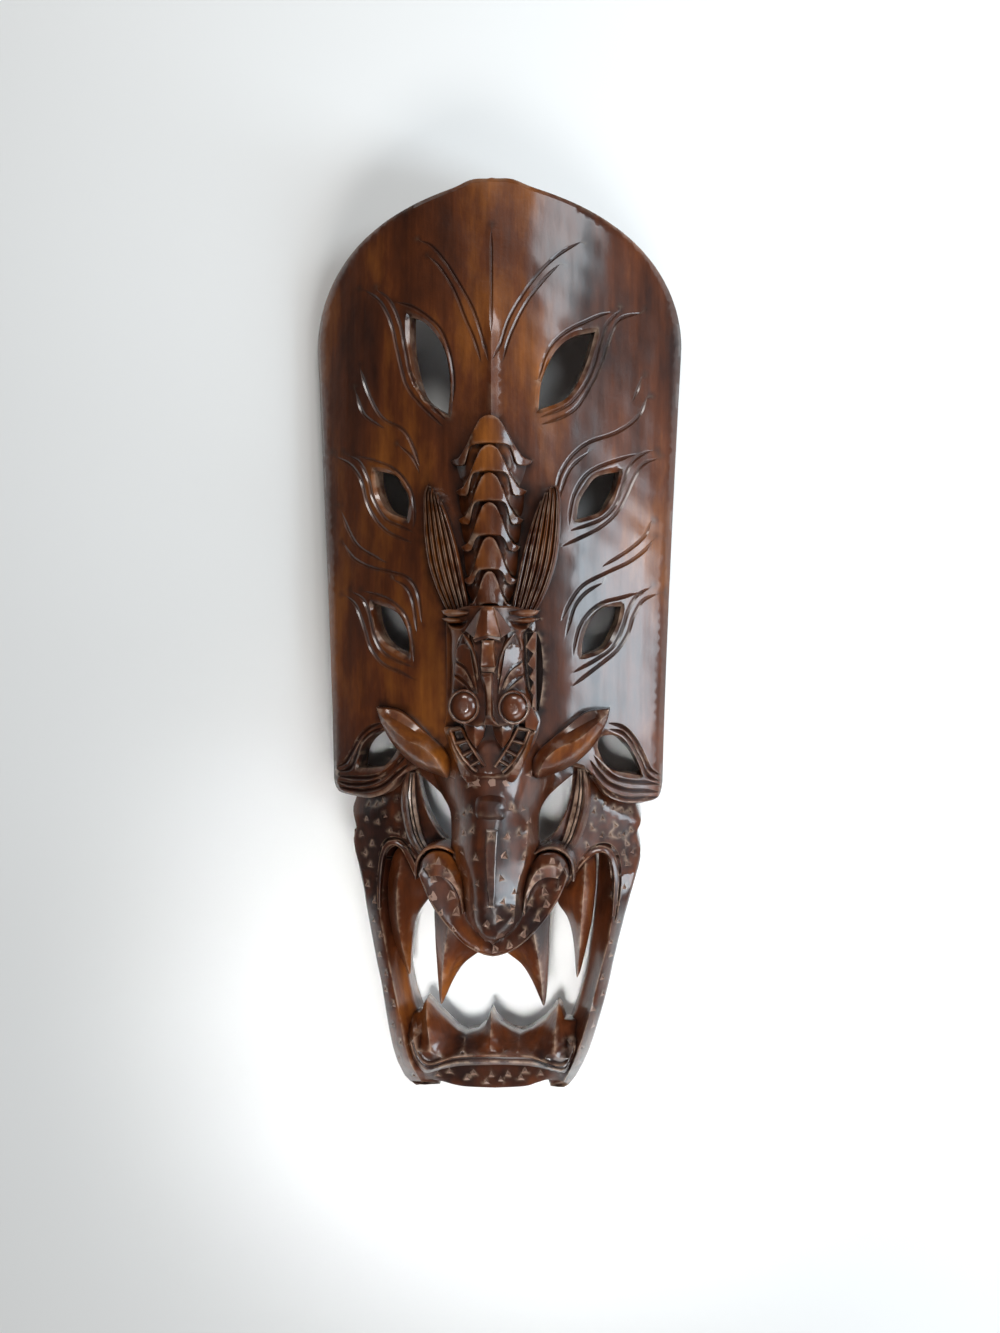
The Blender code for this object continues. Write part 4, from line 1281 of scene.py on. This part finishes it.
def facet(name, border, spine, rounding, drop):
    """A small carved facet from corner points in space."""
    edge = []
    for a, b in zip(border, border[1:] + border[:1]):
        count = max(1, round(math.dist(a[:2], b[:2]) / 2.2))
        edge += [tuple(a[k] + (b[k] - a[k]) * n / count for k in range(3)) for n in range(count)]
    return carved(name, edge, spine, FACET_ROOT, 2.2, spacing=3.5, round_by=rounding, fall=drop,
                  waves=0.3)


def leaf(name, edge, spine, root):
    """A leaf-shaped fold of the skin."""
    return carved(name, smooth_loop(edge, 2.2), spine, root, 2.2, spacing=3.5, round_by=0.7,
                  fall=0.8, waves=0.3)


def nostril_bulb(x, y):
    """A round nostril: a flat dome sunk in a raised ring."""
    bpy.ops.object.select_all(action="DESELECT")
    bpy.ops.mesh.primitive_cylinder_add(vertices=BULB_SIDES, radius=0.0148, depth=0.036,
                                        location=(x * MM, y * MM, 0.1315))
    bulb = bpy.context.object
    bulb.name = "nostril_bulb"
    bulb.scale = (1.0, 1.08, 1.0)
    bpy.ops.object.transform_apply(scale=True)
    bpy.ops.object.mode_set(mode="EDIT")
    bpy.ops.mesh.select_mode(type="FACE")
    work = bmesh.from_edit_mesh(bulb.data)
    for face in work.faces:
        face.select_set(face.normal.z > 0.9)
    bmesh.update_edit_mesh(bulb.data)
    for thick, rise in BULB_RINGS:
        bpy.ops.mesh.inset(thickness=thick)
        bpy.ops.transform.translate(value=(0, 0, rise))
    bpy.ops.object.mode_set(mode="OBJECT")
    bpy.ops.object.transform_apply(location=True)
    return bulb


def small_head():
    pieces = [board("small_cheeks", curve(SMALL_CHEEKS, 3), lambda x, y: 117 - 0.004 * x * x,
                    flat_at(ROOT_Z))]
    cuts = [gouge(sided(line, side), width, depth, ends)
            for lines in SKULL_CUTS for side in (-1, 1) for line, width, depth, ends in lines]
    pieces.append(board("skull", smooth_loop(SKULL_EDGE, 3), skull_z, flat_at(ROOT_Z + 6),
                        gouges=cuts, spacing=4, fall=2.2, round_by=1.8, waves=0.5))
    for name, sides, corners, spine, rounding, drop in HEAD_FACETS:
        for side in sides:
            pieces.append(facet(name, sided(corners, side), spine, rounding, drop))
    for side in (-1, 1):
        for name, edge, spine in FOLDS:
            lines = [sided(line, side) for line in spine]
            pieces.append(leaf(name, sided(edge, side), lines, FACET_ROOT))
        fang, ridge = sided(SMALL_FANG, side), sided(FANG_RIDGE, side)
        pieces.append(facet("small_fang", fang, [ridge], 0.7, 0.7))
        pieces += small_jaw(side)
    pieces += [nostril_bulb(24.2, -56.3), nostril_bulb(-22.4, -55.6)]
    pieces.append(board("mouth_floor", both_sides(MOUTH_FLOOR), lambda x, y: 119 + 0.10 * (-70 - y),
                        flat_at(ROOT_Z), waves=0.3))
    lip, rim = curve(SMALL_LIP, 3), curve(SMALL_LIP_RIM, 3)
    border = lip + flip(lip)[1:] + sided(rim[::-1], -1) + rim[1:]
    pieces.append(carved("lower_lip", border, [whole(SMALL_LIP_CREST)], ROOT_Z, spacing=4,
                         chips=upright_chips(SMALL_LIP_CHIPS), waves=0.4))
    pieces.append(facet("mouth_corner", MOUTH_CORNER, (), 0.7, 0.7))
    pieces.append(facet("side_teeth", SIDE_TEETH, (), 0.4, 0.6))
    return pieces


def small_jaw(side):
    """The chain of teeth across each corner of the mouth: two rails with bars between them."""
    pieces = []
    for line, half in ((JAW_OUTER, 2.0), (JAW_INNER, 1.7)):
        rail = path_on([(x, y, 131.0, half) for x, y in line], side)
        pieces.append(ribbon("tooth_rail", rail, RAIL_PROFILE, JAW_ROOT))
    outer, inner = curve(JAW_OUTER, 1.0), curve(JAW_INNER, 1.0)
    for share in (0.03, 0.30, 0.56, 0.82):
        ends = [line[round(share * (len(line) - 1))] for line in (outer, inner)]
        bar = path_on([(x, y, 130.5, 2.4) for x, y in ends], side)
        pieces.append(ribbon("tooth_bar", bar, RAIL_PROFILE, JAW_ROOT, 20.0))
    return pieces


def fan_cuff(side):
    """The two short lids that close the foot of a fan, over the small dragon's eye."""
    pieces = []
    for low, high, z in ((27.5, 34, 131), (21.5, 26.5, 128)):
        middle = (high + low) / 2
        lid = [(46, high - 1, z - 8), (38, high, z - 1), (28, high - 0.5, z + 3),
               (19, high - 2, z + 6), (20, low + 2, z + 7), (29, low, z + 3), (38, low, z - 1),
               (44, low + 2, z - 7)]
        spine = [(43, middle, z - 3), (32, middle - 0.5, z + 4.5), (22, middle, z + 8)]
        pieces.append(leaf("fan_cuff", sided(lid, side), [sided(spine, side)], ROOT_Z))
    return pieces


def carve_mask():
    """All the carving joined into one closed body."""
    mask = panel()
    mask.name = "carved_mask"
    pieces = [leaning(make) for make in (face, upper_lip, nose_bump, nose_strip)]
    pieces += [chin()] + plates() + small_head()
    for side, parts in ((-1, FANG_LEFT), (1, FANG_RIGHT)):
        pieces += [eye_band(side), ring_side(side), ear(side), fan(side), side_fang(parts),
                   centre_fang(side)]
        pieces += [mouth_arch(side), leaning(nostril, side), leaning(nostril_line, side)]
        pieces += fan_cuff(side)
    for piece in pieces:
        union = mask.modifiers.new("join", "BOOLEAN")
        union.operation = "UNION"
        union.object = piece
        union.solver = "MANIFOLD"
        bpy.ops.object.select_all(action="DESELECT")
        bpy.context.view_layer.objects.active = mask
        bpy.ops.object.modifier_apply(modifier=union.name)
        bpy.data.objects.remove(piece, do_unlink=True)
    return mask


# Where the colour is lighter and amber (above 0) or darker (below 0): thin or thick stain, with
# painted shade on the chin, the jaw ring, the lip beside the snout and the right of the panel: x,
# y, reach across, reach up, amount
STAIN_AND_SHADE_SPOTS = (
    (-88, 20, 40, 130, 0.09), (-120, -80, 60, 60, -0.10), (-60, -60, 40, 50, 0.05),
    (150, -60, 40, 60, 0.02), (0, 330, 60, 80, 0.05), (-150, 300, 40, 120, -0.03),
    (115, 300, 60, 80, -0.05), (0, 130, 16, 120, 0.12), (34, 130, 14, 90, -0.10),
    (-34, 130, 14, 90, -0.10), (0, -20, 50, 60, -0.04), (3, 0, 12, 50, 0.10),
    (-78, -98, 40, 26, 0.18), (78, -98, 40, 26, 0.16), (-45, 90, 20, 60, 0.12),
    (45, 90, 20, 60, 0.08), (-112, -20, 34, 34, -0.06), (0, -175, 40, 60, -0.08),
    (-96, -180, 28, 24, 0.06), (-118, -330, 30, 160, -0.20), (112, -330, 30, 160, -0.18),
    (0, -420, 90, 30, -0.16), (0, -380, 70, 22, -0.05), (-46, -320, 16, 40, 0.06),
    (46, -320, 16, 40, 0.08), (80, -270, 18, 60, 0.04), (-88, -270, 18, 60, -0.02),
    (-50, -240, 30, 40, -0.10), (50, -240, 30, 40, -0.12), (-125, -115, 50, 30, -0.10),
    (125, -125, 50, 30, -0.08), (-110, -190, 40, 40, -0.12), (110, -190, 40, 40, -0.06),
    (120, 10, 60, 110, -0.10), (0, -45, 40, 62, -0.14), (0, -150, 30, 30, -0.06),
    (34, -262, 26, 26, -0.16), (-34, -262, 26, 26, -0.12), (0, -280, 24, 12, -0.10),
)


def stain_and_shade_at(x, y):
    """How much lighter or darker the colour is than its mean at a place, from stain and from
    painted shade.
    """
    return sum(amount * math.exp(-(((x - at_x) / across) ** 2) - ((y - at_y) / up) ** 2)
               for at_x, at_y, across, up, amount in STAIN_AND_SHADE_SPOTS)


# Angles in radians from which an edge is rubbed or an inner corner gets painted shade, and the
# width of the change
RUB_FROM, RUB_OVER = 0.35, 0.75
SHADE_FROM, SHADE_OVER = 0.4, 1.2
SHADE_SPREAD = 0.55


def mark_wear_and_shade(mask):
    """Marks on the points: rubbed outer edges, painted shade in inner corners, the slot and the eye
    walls, and stain with painted shade; on the faces, chips with a painted highlight.
    """
    mesh = mask.data
    work = bmesh.new()
    work.from_mesh(mesh)
    work.normal_update()
    edge_wear = [0.0] * len(work.verts)
    painted_shade = [0.0] * len(work.verts)
    # Outer edges are marked as rubbed, and inner corners get painted shade.
    for edge in work.edges:
        if len(edge.link_faces) != 2:
            continue
        angle = edge.calc_face_angle_signed(0.0)
        if angle > RUB_FROM:
            marks, value = edge_wear, min(1.0, (angle - RUB_FROM) / RUB_OVER)
        elif angle < -SHADE_FROM:
            marks, value = painted_shade, min(1.0, (-angle - SHADE_FROM) / SHADE_OVER)
        else:
            continue
        for vertex in edge.verts:
            marks[vertex.index] = max(marks[vertex.index], value)
    # Painted shade: the slot beside the small head is painted black, and the sunk walls of the
    # panel's eye holes almost so.
    for vertex in work.verts:
        x, y, z = vertex.co / MM
        if 30 < x < 50 and -66 < y < 13 and z < 112:
            painted_shade[vertex.index] = 1.0
        elif y > -120 and abs(x) < half_width(y) - 14 and z < drum(x)[0] - 12:
            painted_shade[vertex.index] = max(painted_shade[vertex.index], 0.75)
    # The painted shade spills onto the near ends of short edges.
    spread = list(painted_shade)
    for edge in work.edges:
        a, b = (vertex.index for vertex in edge.verts)
        if edge.calc_length() < 5 * MM:
            spread[a] = max(spread[a], SHADE_SPREAD * painted_shade[b])
            spread[b] = max(spread[b], SHADE_SPREAD * painted_shade[a])
    tree = tree_of(chip_places)
    chips = []
    for face in work.faces:
        x, y, _ = face.calc_center_median() / MM
        _, n, gap = tree.find((x, y, 0.0))
        size = chip_places[n][2]
        in_chip = gap < size * 0.42 and face.calc_area() < (size * MM) ** 2 and face.normal.z > 0.3
        # Painted highlight: chip facets facing up the mask take the full pale chip colour, the
        # others about a third of it.
        lit = 1.0 if face.normal.y > 0.12 else 0.35
        chips.append(lit if in_chip else 0.0)
    # Spots of stain and of painted shade.
    stain_and_shade = [stain_and_shade_at(vertex.co.x / MM, vertex.co.y / MM) for vertex in work.verts]
    work.free()
    layers = (("edge_wear", "POINT", edge_wear), ("painted_shade", "POINT", spread),
              ("stain_and_shade", "POINT", stain_and_shade), ("chip", "FACE", chips))
    for name, domain, values in layers:
        mesh.attributes.new(name, "FLOAT", domain).data.foreach_set("value", values)


# Materials. Stain from thick to thin, streaks of the grain, painted shade of hollows, rubbed wood,
# and cut wood with a painted highlight on its lit facets
STAIN = ((0.30, 0.016, 0.0040, 0.0022), (0.51, 0.088, 0.0215, 0.0048), (0.74, 0.28, 0.088, 0.012))
STREAK = ((0.35, 0.6, 0.55, 0.52), (0.65, 1.15, 1.12, 1.1))
SHADE_TINT = (0.18, 0.14, 0.14, 1)
RUBBED = (0.40, 0.27, 0.19, 1)
LIT_CHIP = (0.19, 0.115, 0.085, 1)


def node(tree, kind, place, inputs, **settings):
    """A shader node. An input that is given another node's socket is linked to it."""
    made = tree.nodes.new("ShaderNode" + kind)
    made.location = place
    for name, value in settings.items():
        setattr(made, name, value)
    for name, value in inputs.items():
        if isinstance(value, bpy.types.NodeSocket):
            tree.links.new(value, made.inputs[name])
        else:
            made.inputs[name].default_value = value
    return made


def noise(tree, place, spot, stretch, detail, roughness, turned=(0.0, 0.0, 0.0)):
    """A noise drawn out by its own scale on each axis."""
    x, y = place
    mapping = node(tree, "Mapping", (x - 200, y),
                   {"Vector": spot, "Scale": stretch, "Rotation": turned})
    vector = mapping.outputs["Vector"]
    values = {"Vector": vector, "Scale": 1.0, "Detail": detail, "Roughness": roughness}
    return node(tree, "TexNoise", place, values).outputs["Fac"]


def ramp(tree, place, value, stops):
    """A colour ramp, from (position, red, green, blue) stops."""
    made = node(tree, "ValToRGB", place, {"Fac": value})
    elements = made.color_ramp.elements
    elements[0].position, elements[1].position = stops[0][0], stops[-1][0]
    for position, *_ in stops[1:-1]:
        elements.new(position)
    for element, (_, red, green, blue) in zip(elements, stops):
        element.color = (red, green, blue, 1)
    return made.outputs["Color"]


def mark(tree, place, name):
    return node(tree, "Attribute", place, {}, attribute_name=name).outputs["Fac"]


def math_of(tree, place, operation, first, second):
    return node(tree, "Math", place, {0: first, 1: second}, operation=operation).outputs[0]


def mixed(tree, place, share, first, second, blend_type="MIX"):
    inputs = {0: share, 6: first, 7: second}
    return node(tree, "Mix", place, inputs, data_type="RGBA", blend_type=blend_type).outputs[2]


def spanned(tree, place, value, low, high, start=0.0, end=1.0):
    """A value from start to end, put between low and high."""
    inputs = {"Value": value, "From Min": start, "From Max": end, "To Min": low, "To Max": high}
    return node(tree, "MapRange", place, inputs).outputs[0]


def lacquered_wood():
    """Dark red-brown wood under lacquer, amber where thin, pale where the edges are rubbed, with
    painted shade in hollows and a painted highlight on the lit facets of chips.
    """
    wood = bpy.data.materials.new("lacquered_wood")
    wood.use_nodes = True
    tree = wood.node_tree
    shader = tree.nodes["Principled BSDF"]
    spot = node(tree, "TexCoord", (-1700, 0), {}).outputs["Object"]

    grain = noise(tree, (-1300, 200), spot, (140.0, 7.0, 140.0), 6.0, 0.6)
    blotch = noise(tree, (-1300, -100), spot, (16.0, 5.0, 16.0), 5.0, 0.6)
    # Stain level with the spots added, which also carry painted shade.
    shade = math_of(tree, (-1050, -100), "ADD", blotch, mark(tree, (-1300, -260), "stain_and_shade"))
    stain_and_shade = ramp(tree, (-850, -100), shade, STAIN)
    streak = ramp(tree, (-850, 200), grain, STREAK)
    grained = mixed(tree, (-600, 100), 0.6, stain_and_shade, streak, "MULTIPLY")

    thin = math_of(tree, (-900, -400), "POWER", mark(tree, (-1100, -400), "edge_wear"), 2.4)
    patchy = node(tree, "TexNoise", (-1100, -600), {"Vector": spot, "Scale": 90.0, "Detail": 3.0})
    broken = spanned(tree, (-900, -600), patchy.outputs["Fac"], 0.0, 1.0, 0.38, 0.6)
    rub = math_of(tree, (-700, -450), "MULTIPLY", thin, broken)
    rub = math_of(tree, (-550, -450), "MULTIPLY", rub, 0.6)

    # Painted shade in hollows, the slot and the eye walls, multiplied over the stain.
    shade_mask = mark(tree, (-1100, -1000), "painted_shade")
    shaded = mixed(tree, (-380, 60), shade_mask, grained, SHADE_TINT, "MULTIPLY")
    rubbed = mixed(tree, (-180, 60), rub, shaded, RUBBED)
    # Pale cut wood in the chips, strongest on their lit facets as a painted highlight; the chips
    # also thin the coat.
    chip_and_light = mark(tree, (-400, -700), "chip")
    colour = mixed(tree, (0, 60), chip_and_light, rubbed, LIT_CHIP)

    values = {"Vector": spot, "Scale": 150.0, "Detail": 3.0, "Roughness": 0.6}
    scratches = node(tree, "TexNoise", (-900, -800), values)
    relief = math_of(tree, (-600, -800), "ADD", grain, scratches.outputs["Fac"])
    bump = node(tree, "Bump", (-200, -300),
                {"Strength": 0.35, "Distance": 0.0009, "Height": relief})
    polish = noise(tree, (-1300, -1200), spot, (70.0, 9.0, 70.0), 4.0, 0.65, (0.0, 0.0, 0.25))

    link = tree.links.new
    link(colour, shader.inputs["Base Color"])
    link(spanned(tree, (-400, -200), grain, 0.34, 0.5), shader.inputs["Roughness"])
    link(bump.outputs["Normal"], shader.inputs["Normal"])
    sheen = spanned(tree, (-900, -1200), polish, 0.08, 0.26, 0.3, 0.7)
    link(sheen, shader.inputs["Coat Roughness"])
    link(spanned(tree, (-200, -700), chip_and_light, 0.8, 0.25), shader.inputs["Coat Weight"])
    shader.inputs["Specular IOR Level"].default_value = 0.2
    return wood


def pale_floor():
    floor_paint = bpy.data.materials.new("pale_floor")
    floor_paint.use_nodes = True
    shader = floor_paint.node_tree.nodes["Principled BSDF"]
    shader.inputs["Base Color"].default_value = (0.86, 0.86, 0.85, 1)
    shader.inputs["Roughness"].default_value = 0.9
    bpy.ops.mesh.primitive_plane_add(size=12, location=(0, 0, -0.0005))
    floor = bpy.context.object
    floor.name = "floor"
    floor.data.materials.append(floor_paint)


# Name, place, what it points at, size, watts, colour, and spread in degrees
LIGHTS = (
    ("window", (1.25, -0.05, 0.84), (0.10, 0.0, 0.06), (0.44, 1.0), 17, (0.80, 0.91, 1.0), 180),
    ("top_window", (0.98, 0.72, 1.26), (0.08, 0.36, 0.06), (0.34, 0.95), 9, (0.86, 0.94, 1.0), 180),
    ("upper_light", (0.05, 1.45, 1.9), (0.0, -0.05, 0.05), (0.9, 0.5), 21, (1.0, 0.99, 0.97), 180),
    ("lower_light", (0.65, -1.5, 1.9), (0.0, -0.1, 0.05), (1.4, 0.8), 22, (1.0, 0.98, 0.96), 180),
    ("mouth_light", (0.02, -0.50, 2.1), (0.0, -0.36, 0.0), (0.3, 0.3), 0.62, (1.0, 1.0, 1.0), 20),
)


def area_light(name, place, target, size, power, colour, spread):
    lamp = bpy.data.lights.new(name, "AREA")
    lamp.shape = "RECTANGLE"
    lamp.size, lamp.size_y = size
    lamp.energy = power
    lamp.color = colour
    lamp.spread = math.radians(spread)
    light = bpy.data.objects.new(name, lamp)
    light.location = place
    light.rotation_euler = (Vector(target) - Vector(place)).to_track_quat("-Z", "Y").to_euler()
    bpy.context.scene.collection.objects.link(light)


def lights():
    for row in LIGHTS:
        area_light(*row)
    world = bpy.data.worlds.new("studio")
    world.use_nodes = True
    sky = world.node_tree.nodes["Background"]
    sky.inputs["Color"].default_value = (1.0, 0.98, 0.96, 1)
    sky.inputs["Strength"].default_value = 0.06
    bpy.context.scene.world = world
    bpy.context.scene.view_settings.view_transform = "Standard"


def camera():
    eye = bpy.data.cameras.new("camera")
    eye.lens = PIXELS_PER_RADIAN / PHOTO_HEIGHT * SENSOR
    eye.sensor_width = SENSOR
    eye.clip_end = 50
    view = bpy.data.objects.new("camera", eye)
    view.location = Vector(CAMERA) * MM
    aim = (Vector(TARGET) - Vector(CAMERA)).normalized()
    across = aim.cross(Vector((0, 1, 0))).normalized()
    upright = across.cross(aim)
    view.rotation_euler = Matrix((across, upright, -aim)).transposed().to_euler()
    bpy.context.scene.collection.objects.link(view)
    bpy.context.scene.camera = view


def main():
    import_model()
    bpy.ops.object.select_all(action="DESELECT")
    mask = carve_mask()
    mark_wear_and_shade(mask)
    mask.data.materials.clear()
    mask.data.materials.append(lacquered_wood())
    bpy.ops.object.select_all(action="DESELECT")
    mask.select_set(True)
    bpy.context.view_layer.objects.active = mask
    bpy.ops.object.shade_smooth_by_angle(angle=math.radians(SHARP_FROM))
    crisp = mask.modifiers.new("crisp", "WEIGHTED_NORMAL")
    crisp.keep_sharp = True
    bpy.ops.object.modifier_apply(modifier=crisp.name)
    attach(mask, "root")
    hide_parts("mask")
    pale_floor()
    lights()
    camera()


main()
